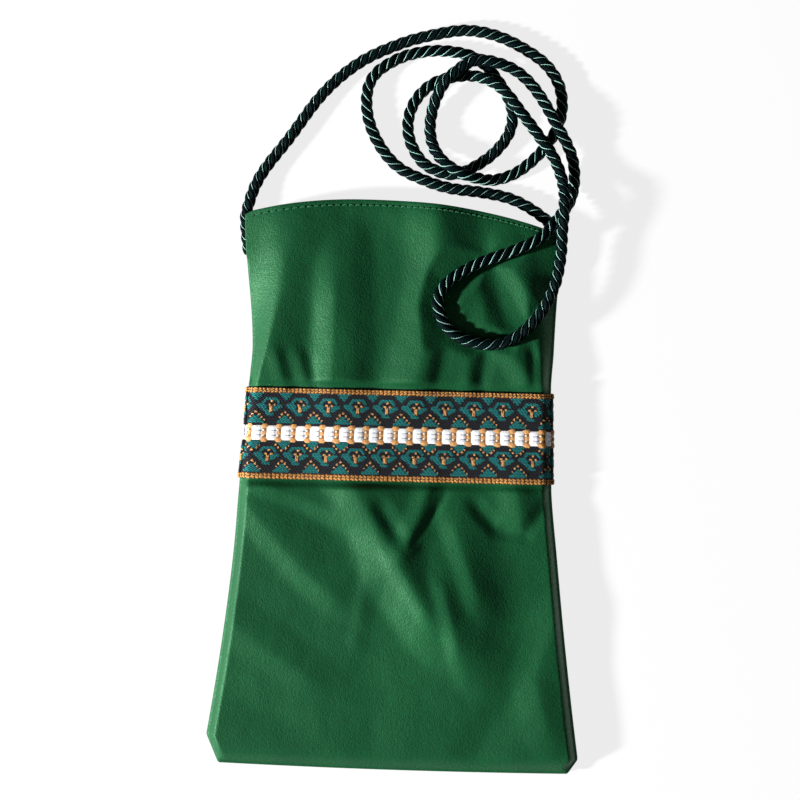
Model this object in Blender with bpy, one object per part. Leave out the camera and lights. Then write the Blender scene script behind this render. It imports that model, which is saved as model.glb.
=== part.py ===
"""A soft green leather shoulder pouch, lying flat on its back, with a woven band round its middle
and a twisted cord sewn into its two top corners.

Metres. +Y runs from the bottom edge to the mouth and +Z is up from the surface the bag lies on. The
origin is at the centre of the bag's outline, on that surface.
"""

import math

import bmesh
import bpy
from mathutils import Vector
from mathutils.geometry import interpolate_bezier

MM = 0.001

# The bag's outline, as it lies
BAG_LENGTH = 0.3083
MOUTH_WIDTH = 0.1712
WAIST_WIDTH = 0.1634
BASE_WIDTH = 0.2018
WAIST_ABOVE_BASE = 0.222
BASE_FLARE = 1.66
MOUTH_CREST_X = -0.022
MOUTH_DROP_LEFT = 0.0082
MOUTH_DROP_RIGHT = 0.0167
MOUTH_CURVE_LEFT = 2.0
MOUTH_CURVE_RIGHT = 2.3
MOUTH_CORNER_RUN = 0.005
MOUTH_CORNER_DROP = 0.0013
BASE_SKEW = 0.0020
BASE_BOW = 0.0010
CORNER_CUT_LEFT = (0.0062, 0.0145)
CORNER_CUT_RIGHT = (0.0048, 0.0070)

# How far the lying bag sways to the right above its band, to the left below it and back at its base
SWAY_ABOVE = 0.0015
SWAY_ABOVE_Y = 0.076
SWAY_ABOVE_RUNS = (0.017, 0.045)
SWAY_BELOW = 0.0009
SWAY_BELOW_Y = -0.002
SWAY_BELOW_RUNS = (0.026, 0.024)
BASE_SHIFT = 0.0005
BASE_SHIFT_RUN = 0.120

# The leather
LEATHER = 0.0011
HEM_DEPTH = 0.008
HEM_STEP = 0.0006
HEM_END_INSET = 0.0076
SEAM_ALLOWANCE = 0.007
NOTCHED_ALLOWANCE = 0.0012
CORNER_NOTCH = 0.016
SEAM_FOLD_RADIUS = 0.0014
SEAM_OPEN_LENGTH = 0.027
SEAM_CLOSING_RUN = 0.012
CLEARANCE = 0.0003

# How full the bag stands
FRONT_TOP = 0.0120
FRONT_TOP_AT_MOUTH = 0.0118
FRONT_TOP_AT_OPEN_SEAM = 0.0092
SHOULDER_AT_MOUTH = 0.020
SHOULDER_AT_SIDES = 0.010
SHOULDER_AT_BASE = 0.014
SHOULDER_RUN = 0.070
MOUTH_FALL_RUN = 0.040
OPEN_SEAM_RISE_RUN = 0.035
FOLD_END_BEYOND_MOUTH = 0.008
FOLD_CALMING_RUN = 0.026
LIFT_RUN = 0.006

# The fineness of the panels' grids
PANEL_ROW_PITCH = 0.0105
SHOULDER_STEPS = (0.0, 0.0012, 0.0035, 0.0075, 0.0130, 0.0200)

# The woven band
BAND_WIDTH = 0.049
BAND_CENTRE_Y = 0.0273
BAND_THICKNESS = 0.0013
BAND_SINK = 0.0020
BAND_MARGIN = 0.001
SELVEDGE_WIDTH = 0.0026
SELVEDGE_RISE = 0.0005
BLOCK_ROW_WIDTH = 0.009
BLOCK_RISE = 0.0007
LATTICE_RISE = 0.0003
BLOCK_PITCH = 0.008
BAND_BEVEL = 0.0004
BACK_RUN_COUNT = 18

# The mouth stitching
THREAD = 0.0007
STITCH_LENGTH = 0.0040
STITCH_INSET = 0.0030
STITCH_REACH = 0.0735
STITCH_MARGIN = 0.006
MOUTH_LIFT_RUN = 0.030

# The shoulder cord
CORD_DIAMETER = 0.006
CORD_POINT_PITCH = 0.0152

# Millimetres: the cord's centre line, from its left end between the panels to its right end
CORD_ROUTE = (
    (-83.4, 124.4, 4.6), (-85.0, 135.7, 4.6), (-85.3, 146.0, 4.4), (-79.0, 165.1, 3.2),
    (-62.7, 187.8, 3.2), (-44.8, 212.6, 3.2), (-25.6, 229.4, 3.2), (-3.1, 240.3, 3.2),
    (16.4, 245.8, 3.2), (32.3, 248.1, 3.2), (48.4, 245.5, 3.2), (63.8, 238.6, 3.2),
    (76.5, 229.4, 3.2), (83.6, 217.0, 3.2), (84.0, 201.8, 3.2), (77.0, 187.0, 3.2),
    (63.2, 173.1, 3.2), (50.3, 167.5, 3.4), (38.2, 167.6, 8.6), (27.4, 171.3, 10.2),
    (19.0, 177.9, 8.2), (14.2, 187.6, 4.2), (13.5, 199.5, 4.2), (17.6, 213.6, 8.6),
    (24.3, 222.8, 10.2), (36.6, 230.7, 9.9), (48.5, 230.0, 8.8), (60.2, 225.4, 7.0),
    (70.5, 215.3, 7.2), (81.3, 197.2, 10.4), (90.0, 181.6, 6.8), (92.3, 169.3, 3.6),
    (89.8, 156.3, 7.4), (82.9, 146.1, 12.3), (74.3, 135.6, 15.8), (60.2, 128.2, 16.2),
    (40.0, 120.2, 16.0), (23.6, 109.3, 16.6), (19.5, 98.0, 16.8), (26.3, 84.5, 16.4),
    (41.5, 77.9, 16.0), (57.6, 79.3, 16.0), (72.3, 91.7, 16.0), (81.3, 108.0, 15.6),
    (84.8, 124.8, 15.2), (85.2, 140.8, 18.0), (86.0, 153.2, 17.4), (85.2, 166.1, 11.6),
    (80.4, 179.1, 9.8), (72.3, 190.5, 9.6), (62.0, 203.5, 9.8), (52.3, 215.2, 9.8),
    (41.7, 221.7, 7.4), (28.8, 223.2, 3.2), (13.2, 218.1, 3.2), (3.2, 205.8, 3.2),
    (1.6, 191.1, 3.2), (8.7, 176.9, 3.2), (19.2, 170.8, 3.2), (27.9, 169.9, 3.2),
    (37.6, 174.0, 3.2), (48.8, 182.4, 3.2), (56.7, 194.1, 3.2), (57.2, 207.2, 3.2),
    (49.0, 221.9, 3.2), (37.9, 232.8, 3.2), (24.2, 236.4, 3.2), (9.0, 236.0, 3.2),
    (-6.7, 230.9, 3.2), (-19.2, 220.3, 3.2), (-21.2, 203.7, 3.2), (-15.4, 187.2, 3.2),
    (-4.2, 173.6, 3.2), (11.2, 166.1, 3.2), (24.8, 162.2, 3.2), (42.3, 160.3, 3.2),
    (58.7, 157.0, 3.2), (72.4, 149.8, 3.8), (81.2, 141.8, 4.6), (83.7, 133.2, 4.6),
    (83.4, 127.7, 4.6),
)

# Soft folds of the front in millimetres: half width, height, and the (x, y) points each runs through
FOLDS = (
    (8, -1.5, ((-53, 126), (-62, 94), (-70, 59))),
    (10, 1.9, ((-35, 122), (-36, 94), (-37, 59))),
    (9, -1.4, ((-9, 135), (-9, 95), (-11, 53))),
    (10, 1.9, ((24, 152), (21, 112), (17, 85), (13, 58))),
    (8, -1.4, ((43, 151), (37, 126), (28, 85), (22, 56))),
    (7, 1.4, ((57, 130), (67, 110), (75, 91))),
    (6, -1.2, ((43, 113), (53, 98), (63, 81))),
    (6, -1, ((48, 76), (45, 57))),
    (6, 1.3, ((66, 77), (65, 56))),
    (8, 3.1, ((-18, 3), (-10, -18), (-2, -38), (5, -50), (13, -64))),
    (7, -1.2, ((-34, -4), (-26, -32), (-12, -57))),
    (8, 1.7, ((28, -64), (33, -82))),
    (6, -2.5, ((-2, 0), (5, -23), (9, -38))),
    (7, -1, ((23, -37), (30, -57))),
    (6, 1.6, ((24, 0), (15, -17), (10, -26))),
    (8, 1.9, ((34, -19), (45, -53))),
    (6, 1.6, ((63, 4), (66, -12))),
    (6, -1, ((76, -3), (81, -16))),
    (7, 1.5, ((-75, 0), (-52, -7), (-35, -16))),
    (7, -1.4, ((-82, -14), (-61, -20), (-39, -29))),
    (7, 1.5, ((-84, -21), (-69, -34), (-45, -45))),
    (8, -1.4, ((-88, -40), (-72, -51), (-50, -60))),
    (8, 1.4, ((-89, -76), (-71, -85), (-52, -97))),
    (10, -1.5, ((-92, -96), (-70, -108), (-46, -125))),
    (10, -1, ((-20, -96), (-16, -146))),
    (7, 1.4, ((89, -66), (81, -94), (85, -126))),
    (8, -1.4, ((71, -86), (61, -109), (40, -142))),
)


def smooth(value):
    """An even step from 0 to 1."""
    value = min(max(value, 0.0), 1.0)
    return value * value * (3.0 - 2.0 * value)


def material(name, colour, roughness):
    made = bpy.data.materials.new(name)
    made.use_nodes = True
    made.diffuse_color = (*colour, 1.0)
    shader = made.node_tree.nodes["Principled BSDF"]
    shader.inputs["Base Color"].default_value = (*colour, 1.0)
    shader.inputs["Roughness"].default_value = roughness
    shader.inputs["Metallic"].default_value = 0.0
    return made


def add_object(name, mesh, finish):
    made = bpy.data.objects.new(name, mesh)
    bpy.context.scene.collection.objects.link(made)
    mesh.materials.append(finish)
    return made


# The outline

BASE_Y = -BAG_LENGTH / 2
CREST_Y = BAG_LENGTH / 2
BAND_LOW_Y = BAND_CENTRE_Y - BAND_WIDTH / 2
BAND_HIGH_Y = BAND_CENTRE_Y + BAND_WIDTH / 2


def half_width(y, side):
    """Half the bag's width at y, on its left (-1) or right (1) side."""
    height = y - BASE_Y
    cut_width, cut_height = CORNER_CUT_LEFT if side < 0 else CORNER_CUT_RIGHT
    if height > WAIST_ABOVE_BASE:
        share = (height - WAIST_ABOVE_BASE) / (BAG_LENGTH - WAIST_ABOVE_BASE)
        return (WAIST_WIDTH + (MOUTH_WIDTH - WAIST_WIDTH) * smooth(share)) / 2
    if height > cut_height:
        share = (WAIST_ABOVE_BASE - height) / (WAIST_ABOVE_BASE - cut_height)
        return (WAIST_WIDTH + (BASE_WIDTH - WAIST_WIDTH) * share**BASE_FLARE) / 2
    return BASE_WIDTH / 2 - cut_width * (1.0 - max(height, 0.0) / cut_height)


def mouth_drop(x):
    """How far the mouth's edge falls below its crest."""
    across = x - MOUTH_CREST_X
    corner = max(abs(x) - MOUTH_WIDTH / 2 + MOUTH_CORNER_RUN, 0.0) / MOUTH_CORNER_RUN
    drop = MOUTH_CORNER_DROP * corner**2
    if across < 0:
        return drop + MOUTH_DROP_LEFT * (-across / (MOUTH_WIDTH / 2 + MOUTH_CREST_X)) ** MOUTH_CURVE_LEFT
    return drop + MOUTH_DROP_RIGHT * (across / (MOUTH_WIDTH / 2 - MOUTH_CREST_X)) ** MOUTH_CURVE_RIGHT


def swell(y, middle, runs):
    """1 at a height along the bag, fading over one run below it and another above it."""
    run = runs[0] if y < middle else runs[1]
    return math.exp(-(((y - middle) / run) ** 2))


def sway(y):
    """How far the lying bag's middle stands to the right at y."""
    right = SWAY_ABOVE * swell(y, SWAY_ABOVE_Y, SWAY_ABOVE_RUNS)
    right += BASE_SHIFT * smooth((BAND_LOW_Y - y) / BASE_SHIFT_RUN)
    return right - SWAY_BELOW * swell(y, SWAY_BELOW_Y, SWAY_BELOW_RUNS)


def seam_closed(y):
    """1 where the side seam is sewn, 0 along its open top."""
    open_from = CREST_Y - MOUTH_DROP_RIGHT / 2 - SEAM_OPEN_LENGTH
    return 1.0 - smooth((y - open_from) / SEAM_CLOSING_RUN)


def lie(share, y):
    """The place on the lying bag of a share across it and a height along it."""
    edge = half_width(y, math.copysign(1, share)) - SEAM_FOLD_RADIUS * seam_closed(y)
    x = share * edge + sway(y)
    above = max(y - BAND_HIGH_Y, 0.0) / (CREST_Y - BAND_HIGH_Y)
    below = max(BAND_LOW_Y - y, 0.0) / (BAND_LOW_Y - BASE_Y)
    skew = BASE_SKEW * (0.5 - x / BASE_WIDTH) - BASE_BOW * (1.0 - share**2)
    return x, y - mouth_drop(x) * above**2 + (SEAM_FOLD_RADIUS + skew) * below


# The heights

BAND_SPACE = BAND_THICKNESS + CLEARANCE
STITCH_SPACE = 1.4 * THREAD + 2 * CLEARANCE


def near_band(y):
    """1 under the band, falling to 0 beyond its edges."""
    outside = max(y - BAND_HIGH_Y, BAND_LOW_Y - y) - BAND_MARGIN
    return 1.0 - smooth(outside / LIFT_RUN)


def back_edge_height(y):
    """The outer face of the back along its side edges, which clears the band under it."""
    return BAND_SPACE * near_band(y)


def back_height(x, y):
    """The outer face of the back, which clears the band and the stitching under it."""
    near_mouth = smooth(1.0 - (CREST_Y - MOUTH_DROP_RIGHT - y) / MOUTH_LIFT_RUN)
    inside = smooth((STITCH_REACH + STITCH_MARGIN - abs(x)) / STITCH_MARGIN)
    return back_edge_height(y) + STITCH_SPACE * near_mouth * inside


def edge_height(y):
    """The outer face of the front at the side seam, over both turned allowances."""
    sewn = back_edge_height(y) + 4 * SEAM_FOLD_RADIUS + CLEARANCE
    closed = smooth((CREST_Y - SEAM_OPEN_LENGTH - y) / OPEN_SEAM_RISE_RUN)
    return FRONT_TOP_AT_OPEN_SEAM + (sewn - FRONT_TOP_AT_OPEN_SEAM) * closed


def distance_to(point, start, end):
    """How far a point is from a straight run."""
    along = end - start
    share = min(max((point - start).dot(along) / along.length_squared, 0.0), 1.0)
    return (point - start - along * share).length


def fold_height(x, y):
    place = Vector((x, y)) / MM
    total = 0.0
    for half, height, points in FOLDS:
        runs = zip(points, points[1:])
        gap = min(distance_to(place, Vector(start), Vector(end)) for start, end in runs)
        total += height * MM * math.exp(-((gap / half) ** 2))
    return total


def rounded(distance, shoulder):
    """0 at an edge and 1 past the shoulder, along a quarter circle."""
    share = min(max(distance / shoulder, 0.0), 1.0)
    return math.sqrt(1.0 - (1.0 - share) ** 2)


def side_shoulder(y):
    """How wide the rounded shoulder is along the sides, wider towards the mouth."""
    wider = smooth((y - BAND_HIGH_Y) / SHOULDER_RUN)
    return SHOULDER_AT_SIDES + (SHOULDER_AT_MOUTH - SHOULDER_AT_SIDES) * wider


def front_height(x, y, edge, from_base):
    """The outer face of the front, at a distance inside its side edge and above its bottom edge."""
    calm = near_band(y)
    flat = FRONT_TOP - BAND_SINK * calm
    flat += (FRONT_TOP_AT_MOUTH - FRONT_TOP) * smooth(1.0 - (CREST_Y - y) / MOUTH_FALL_RUN)
    full = rounded(edge, side_shoulder(y)) * rounded(from_base, SHOULDER_AT_BASE)
    low = edge_height(y)
    near_crest = rounded(CREST_Y + FOLD_END_BEYOND_MOUTH - y, FOLD_CALMING_RUN)
    folded = fold_height(x, y) * (1.0 - calm) * near_crest
    return low + (flat - low + folded) * full


def front_point(share, y):
    x, place = lie(share, y)
    edge = (1.0 - abs(share)) * half_width(y, math.copysign(1, share))
    return Vector((x, place, front_height(x, place, edge, y - BASE_Y)))


def back_point(share, y):
    x, place = lie(share, y)
    return Vector((x, place, back_height(x, place)))


# The panels

def column_shares():
    """Places across the bag from -1 to 1, close together on both shoulders."""
    half = WAIST_WIDTH / 2
    inner = half - SHOULDER_STEPS[-1]
    count = 2 * round(inner / BLOCK_PITCH)
    right = [1.0 - step / half for step in SHOULDER_STEPS]
    middle = [(2 * i / count - 1) * right[-1] for i in range(1, count)]
    return [-share for share in right] + middle + right[::-1]


def row_heights():
    """Places along the bag, close together at the bottom, the band's edges and the hem."""
    rows = [BASE_Y + inset for inset in SHOULDER_STEPS]
    marks = (
        rows[-1], BAND_LOW_Y - BAND_MARGIN - LIFT_RUN, BAND_LOW_Y - BAND_MARGIN,
        BAND_HIGH_Y + BAND_MARGIN, BAND_HIGH_Y + BAND_MARGIN + LIFT_RUN, CREST_Y - HEM_DEPTH - HEM_STEP,
    )
    for low, high in zip(marks, marks[1:]):
        count = max(1, round((high - low) / PANEL_ROW_PITCH))
        rows += [low + (high - low) * i / count for i in range(1, count + 1)]
    return rows + [CREST_Y - HEM_DEPTH, CREST_Y - STITCH_INSET, CREST_Y]


def outline_normal(ring, index):
    """The outward direction of the outline at one of its points, level with the ground."""
    before = ring[max(index - 1, 0)].co
    after = ring[min(index + 1, len(ring) - 1)].co
    along = (after - before).xy.normalized()
    return Vector((along.y, -along.x, 0.0))


def sewn_edge(grid, rows):
    """The edge's points that are sewn, in order down the left side, along the bottom and up the right."""
    top = max(row for row, y in enumerate(rows) if seam_closed(y) > 0.999)
    left = [line[0] for line in grid[top:0:-1]]
    right = [line[-1] for line in grid[1 : top + 1]]
    return left + list(grid[0]) + right


def turn_allowance(shape, ring, corners, up):
    """Folds the sewn edge over by half a turn and runs the seam allowance back inside the bag."""
    normals = [outline_normal(ring, index) for index in range(len(ring))]
    starts = [vert.co.copy() for vert in ring]
    depths = []
    for start in starts:
        gap = min((start - corner.co).length for corner in corners)
        depths.append(NOTCHED_ALLOWANCE + (SEAM_ALLOWANCE - NOTCHED_ALLOWANCE) * smooth(gap / CORNER_NOTCH))
    radius = SEAM_FOLD_RADIUS
    bulge = [0.92 * radius] * len(ring)
    turned = (bulge, 0.45 * radius), (bulge, 1.55 * radius), ([-depth for depth in depths], 2.0 * radius)
    previous = list(ring)
    for outward, down in turned:
        edges = [shape.edges.get(pair) for pair in zip(previous, previous[1:])]
        made = bmesh.ops.extrude_edge_only(shape, edges=edges)["geom"]
        new = {item for item in made if isinstance(item, bmesh.types.BMVert)}
        current = [
            next(edge.other_vert(vert) for edge in vert.link_edges if edge.other_vert(vert) in new)
            for vert in previous
        ]
        for vert, start, normal, out in zip(current, starts, normals, outward):
            vert.co = start + normal * out + Vector((0.0, 0.0, -down * up))
        previous = current


def panel(name, point_at, up, columns, finish):
    """One leather panel: its outer face as a grid, its allowances turned in, then its thickness."""
    rows = row_heights()
    across = len(columns)
    shape = bmesh.new()
    bmesh.ops.create_grid(shape, x_segments=across - 1, y_segments=len(rows) - 1, size=1.0)
    shape.verts.ensure_lookup_table()
    grid = [shape.verts[row * across : (row + 1) * across] for row in range(len(rows))]
    hem = []
    for y, line in zip(rows, grid):
        for share, vert in zip(columns, line):
            vert.co = point_at(share, y)
            if y > CREST_Y - HEM_DEPTH - HEM_STEP / 2 and (1 - abs(share)) * MOUTH_WIDTH / 2 > HEM_END_INSET:
                hem.append(vert.index)
    turn_allowance(shape, sewn_edge(grid, rows), (grid[0][0], grid[0][-1]), up)
    bmesh.ops.recalc_face_normals(shape, faces=shape.faces)
    if grid[len(rows) // 2][across // 2].normal.z * up < 0:
        bmesh.ops.reverse_faces(shape, faces=shape.faces)
    mesh = bpy.data.meshes.new(name)
    shape.to_mesh(mesh)
    shape.free()
    made = add_object(name, mesh, finish)
    doubled = made.vertex_groups.new(name="thickness")
    doubled.add(list(range(len(mesh.vertices))), 0.5, "REPLACE")
    doubled.add(hem, 1.0, "REPLACE")
    wall = made.modifiers.new("leather", "SOLIDIFY")
    wall.thickness = 2 * LEATHER
    wall.offset = -1.0
    wall.use_even_offset = True
    wall.vertex_group = doubled.name
    mesh.shade_smooth()
    mesh.set_sharp_from_angle(angle=math.radians(50))


# The band


def band_profile():
    """Across the band: distance from its lower edge, height above its back face, and its raised kind."""
    third = (BAND_WIDTH - BLOCK_ROW_WIDTH) / 2
    quarter = (third - SELVEDGE_WIDTH) / 4
    half = [
        (0.0, BAND_THICKNESS - BAND_BEVEL, "edge"),
        (0.4 * SELVEDGE_WIDTH, BAND_THICKNESS, "edge"),
        (SELVEDGE_WIDTH, BAND_THICKNESS - SELVEDGE_RISE, "edge"),
        (SELVEDGE_WIDTH + quarter, BAND_THICKNESS - SELVEDGE_RISE, "lattice"),
        (SELVEDGE_WIDTH + 2 * quarter, BAND_THICKNESS - SELVEDGE_RISE, "lattice low"),
        (SELVEDGE_WIDTH + 3 * quarter, BAND_THICKNESS - SELVEDGE_RISE, "lattice"),
        (third, BAND_THICKNESS - SELVEDGE_RISE, "edge"),
        (third + 0.18 * BLOCK_ROW_WIDTH, BAND_THICKNESS - BLOCK_RISE, "block"),
    ]
    return half + [(BAND_WIDTH - inset, height, kind) for inset, height, kind in half[::-1]]


def turn(x, height, quarter):
    """Three places round a quarter of the seam's fold, with their outward directions."""
    places = []
    for share in (0.0, 0.5, 1.0):
        angle = (quarter + share) * math.pi / 2
        out = Vector((math.sin(angle), math.cos(angle)))
        places.append((Vector((x, height)) + out * SEAM_FOLD_RADIUS, out, 0))
    return places


def girth(y, columns):
    """The bag's section at y, as places round it with their outward directions and weave phase."""
    stations = []
    for first, second in zip(columns, columns[1:]):
        stations.append(first)
        if (second - first) * WAIST_WIDTH / 2 > 0.6 * BLOCK_PITCH:
            stations.append((first + second) / 2)
    stations.append(columns[-1])
    front = [front_point(share, y).xz for share in stations]
    ring = []
    for index, (before, point, after) in enumerate(zip([front[0], *front], front, [*front[1:], front[-1]])):
        along = (after - before).normalized()
        ring.append((point, Vector((-along.y, along.x)), index % 2))
    left, right = front[0], front[-1]
    low = back_edge_height(y) + SEAM_FOLD_RADIUS
    ring += turn(right.x, right.y - SEAM_FOLD_RADIUS, 0)[1:] + turn(right.x, low, 1)
    for index in range(1, BACK_RUN_COUNT):
        x = right.x + (left.x - right.x) * index / BACK_RUN_COUNT
        ring.append((Vector((x, low - SEAM_FOLD_RADIUS)), Vector((0.0, -1.0)), 0))
    return ring + turn(left.x, low, 2) + turn(left.x, left.y - SEAM_FOLD_RADIUS, 3)[:-1]


def raised(kind, phase):
    """How far the weave stands up at one place of its profile."""
    if kind == "block":
        return 2 * BLOCK_RISE * phase
    if kind == "lattice":
        return LATTICE_RISE * (1 - phase)
    if kind == "lattice low":
        return LATTICE_RISE * phase
    return 0.0


def woven_band(columns, finish):
    """A ribbon's closed loop: matching rings of points round the bag, joined into faces."""
    shape = bmesh.new()
    profile = band_profile()
    outer, inner = [], []
    for inset, height, kind in profile:
        y = BAND_LOW_Y + inset
        outer_row, inner_row = [], []
        for point, out, phase in girth(y, columns):
            under = point.y <= back_edge_height(y) + SEAM_FOLD_RADIUS
            thick = height if under else height + raised(kind, phase)
            far = point + out * (CLEARANCE + thick)
            near = point + out * CLEARANCE
            outer_row.append(shape.verts.new((far.x, y, max(far.y, 0.0))))
            if inset in (profile[0][0], profile[-1][0]):
                inner_row.append(shape.verts.new((near.x, y, near.y)))
        outer.append(outer_row)
        if inner_row:
            inner.append(inner_row)
    rings = [*outer, *inner[::-1], outer[0]]
    for low, high in zip(rings, rings[1:]):
        for index in range(len(low)):
            after = (index + 1) % len(low)
            shape.faces.new((low[index], low[after], high[after], high[index]))
    bmesh.ops.recalc_face_normals(shape, faces=shape.faces)
    mesh = bpy.data.meshes.new("woven_band")
    shape.to_mesh(mesh)
    shape.free()
    mesh.shade_smooth()
    mesh.set_sharp_from_angle(angle=math.radians(40))
    return add_object("woven_band", mesh, finish)


# Tubes: the stitching and the cord


def smooth_line(points, pitch):
    """Evenly spaced points on a smooth curve through the given ones."""
    ways = [
        (after - before).normalized()
        for before, after in zip([points[0], *points[:-1]], [*points[1:], points[-1]])
    ]
    fine = []
    for start, end, leaving, arriving in zip(points, points[1:], ways, ways[1:]):
        reach = (end - start).length / 3
        fine += interpolate_bezier(start, start + leaving * reach, end - arriving * reach, end, 13)[:-1]
    fine.append(points[-1])
    lengths = [0.0]
    for before, after in zip(fine, fine[1:]):
        lengths.append(lengths[-1] + (after - before).length)
    count = round(lengths[-1] / pitch)
    line, index = [], 0
    for step in range(count + 1):
        wanted = lengths[-1] * step / count
        while index < len(lengths) - 2 and lengths[index + 1] < wanted:
            index += 1
        share = (wanted - lengths[index]) / (lengths[index + 1] - lengths[index])
        line.append(fine[index].lerp(fine[index + 1], min(share, 1.0)))
    return line


def tube(name, line, diameter, resolution, finish):
    data = bpy.data.curves.new(name, "CURVE")
    data.dimensions = "3D"
    data.bevel_depth = diameter / 2
    data.bevel_resolution = resolution
    data.use_fill_caps = True
    spline = data.splines.new("POLY")
    spline.points.add(len(line) - 1)
    for point, place in zip(spline.points, line):
        point.co = (*place, 1.0)
    data.materials.append(finish)
    made = bpy.data.objects.new(name, data)
    bpy.context.scene.collection.objects.link(made)
    return made


def mouth_stitching(name, point_at, up, finish):
    """A row of thread just below the mouth's edge, on the outer face of one panel."""
    reach = 2 * STITCH_REACH / MOUTH_WIDTH
    count = 2 * round(2 * STITCH_REACH / STITCH_LENGTH)
    line = []
    for index in range(count + 1):
        clear = CLEARANCE + THREAD * (0.5 + 0.25 * (index % 2))
        place = point_at(reach * (2 * index / count - 1), CREST_Y - STITCH_INSET)
        line.append(place + Vector((0.0, 0.0, clear * up)))
    return tube(name, line, THREAD, 0, finish)


def build():
    for item in list(bpy.data.objects):
        bpy.data.objects.remove(item)
    leather = material("green leather", (0.018, 0.130, 0.055), 0.45)
    weave = material("woven trim", (0.300, 0.160, 0.060), 0.85)
    satin = material("twisted satin cord", (0.004, 0.020, 0.022), 0.35)
    thread = material("green thread", (0.090, 0.400, 0.200), 0.60)
    columns = column_shares()
    panel("front_panel", front_point, 1, columns, leather)
    panel("back_panel", back_point, -1, columns[::2], leather)
    woven_band(columns, weave)
    route = [Vector(point) * MM for point in CORD_ROUTE]
    tube("shoulder_cord", smooth_line(route, CORD_POINT_PITCH), CORD_DIAMETER, 2, satin)
    mouth_stitching("front_mouth_stitching", front_point, 1, thread)
    mouth_stitching("back_mouth_stitching", back_point, -1, thread)


build()
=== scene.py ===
"""A soft green leather shoulder pouch with a woven band and a twisted satin cord, lying flat.

Metres. +Y runs from the bottom edge to the mouth and +Z is up from the surface the bag lies on.
"""

import math

import bmesh
import bpy
import numpy as np
from mathutils import Matrix, Vector, noise


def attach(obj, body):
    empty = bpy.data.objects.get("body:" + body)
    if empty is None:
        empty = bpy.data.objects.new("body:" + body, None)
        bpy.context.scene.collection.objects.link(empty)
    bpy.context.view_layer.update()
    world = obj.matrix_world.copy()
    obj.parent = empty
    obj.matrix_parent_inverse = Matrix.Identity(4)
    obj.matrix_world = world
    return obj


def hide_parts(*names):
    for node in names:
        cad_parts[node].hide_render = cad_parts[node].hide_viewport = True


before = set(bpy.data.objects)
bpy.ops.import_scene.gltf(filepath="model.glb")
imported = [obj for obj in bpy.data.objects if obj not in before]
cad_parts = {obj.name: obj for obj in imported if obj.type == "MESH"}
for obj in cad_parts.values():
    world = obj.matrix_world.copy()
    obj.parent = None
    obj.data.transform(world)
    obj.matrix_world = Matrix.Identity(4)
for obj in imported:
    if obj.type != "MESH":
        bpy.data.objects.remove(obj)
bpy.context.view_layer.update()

MM = 0.001

# The bag's outline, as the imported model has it
BAG_LENGTH = 0.3083
MOUTH_WIDTH = 0.1712
WAIST_WIDTH = 0.1634
BASE_WIDTH = 0.2018
WAIST_ABOVE_BASE = 0.222
BASE_FLARE = 1.66
MOUTH_CREST_X = -0.022
MOUTH_DROP_LEFT = 0.0082
MOUTH_DROP_RIGHT = 0.0167
MOUTH_CURVE_LEFT = 2.0
MOUTH_CURVE_RIGHT = 2.3
MOUTH_CORNER_RUN = 0.005
MOUTH_CORNER_DROP = 0.0013
BASE_SKEW = 0.0020
BASE_BOW = 0.0010
CORNER_CUT_LEFT = (0.0062, 0.0145)
CORNER_CUT_RIGHT = (0.0048, 0.0070)
BASE_Y = -BAG_LENGTH / 2
CREST_Y = BAG_LENGTH / 2

# How far the lying bag sways to the right above its band, to the left below it and back at its base
SWAY_ABOVE = 0.0015
SWAY_ABOVE_Y = 0.076
SWAY_ABOVE_RUNS = (0.017, 0.045)
SWAY_BELOW = 0.0009
SWAY_BELOW_Y = -0.002
SWAY_BELOW_RUNS = (0.026, 0.024)
BASE_SHIFT = 0.0005
BASE_SHIFT_RUN = 0.120

# The leather and its seams
LEATHER = 0.0011
HEM_DEPTH = 0.008
HEM_END_INSET = 0.0076
SEAM_ALLOWANCE = 0.007
NOTCHED_ALLOWANCE = 0.0012
CORNER_NOTCH = 0.016
SEAM_FOLD_RADIUS = 0.0014
SEAM_OPEN_LENGTH = 0.027
SEAM_CLOSING_RUN = 0.012
CLEARANCE = 0.0003
COLUMN_PITCH = 0.00125
BACK_COLUMN_PITCH = 0.0030
EDGE_CROWDING = 0.25
FOLD_STEPS = 5
CLOSE_ROWS = 0.026
CLOSE_ROWS_SHARE = 1.15
CLOSE_ROWS_CROWDING = 1.6
ROWS_OVER_HEM_EDGE = (0.0005, 0.002)
ROWS_AT_STITCHING = (-0.0012, 0.0, 0.0008)
ROWS_AT_MOUTH = (-0.0012, -0.0003, 0.0)
SEWN_FROM = 0.03
ALLOWANCE_FROM = 0.6
SHORTEST_ALLOWANCE = 0.0003

# How full the bag stands
FRONT_TOP = 0.0120
FRONT_TOP_AT_MOUTH = 0.0118
FRONT_TOP_AT_OPEN_SEAM = 0.0092
SHOULDER_AT_MOUTH = 0.020
SHOULDER_AT_SIDES = 0.0045
SHOULDER_AT_BASE = 0.010
MOUTH_FALL_RUN = 0.040
OPEN_SEAM_RISE_RUN = 0.035
SHOULDER_RUN = 0.070
FOLD_CALMING_RUN = 0.026
FOLD_CALMED_BY_BAND = 0.55
FOLD_END_BEYOND_MOUTH = 0.008
LIFT_RUN = 0.004
FOLD_TAPER = 0.6
FOLD_CREST_ROUNDING = 0.2
FOLD_FOOT_ROUNDING = 0.2
LEAST_GAP = 0.001
RIPPLE = 0.00022
RIPPLE_LENGTH = 0.017
RIPPLE_SQUEEZE = 0.8
FINE_RIPPLE_SHARE = 0.5
FINE_RIPPLE_LENGTH = 0.42 * RIPPLE_LENGTH
STITCH_SINK = 0.00028
STITCH_CHANNEL = 0.0009
MOUTH_ROLL_RUN = 0.0012
MOUTH_ROLL_DROP = 0.0003

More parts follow.
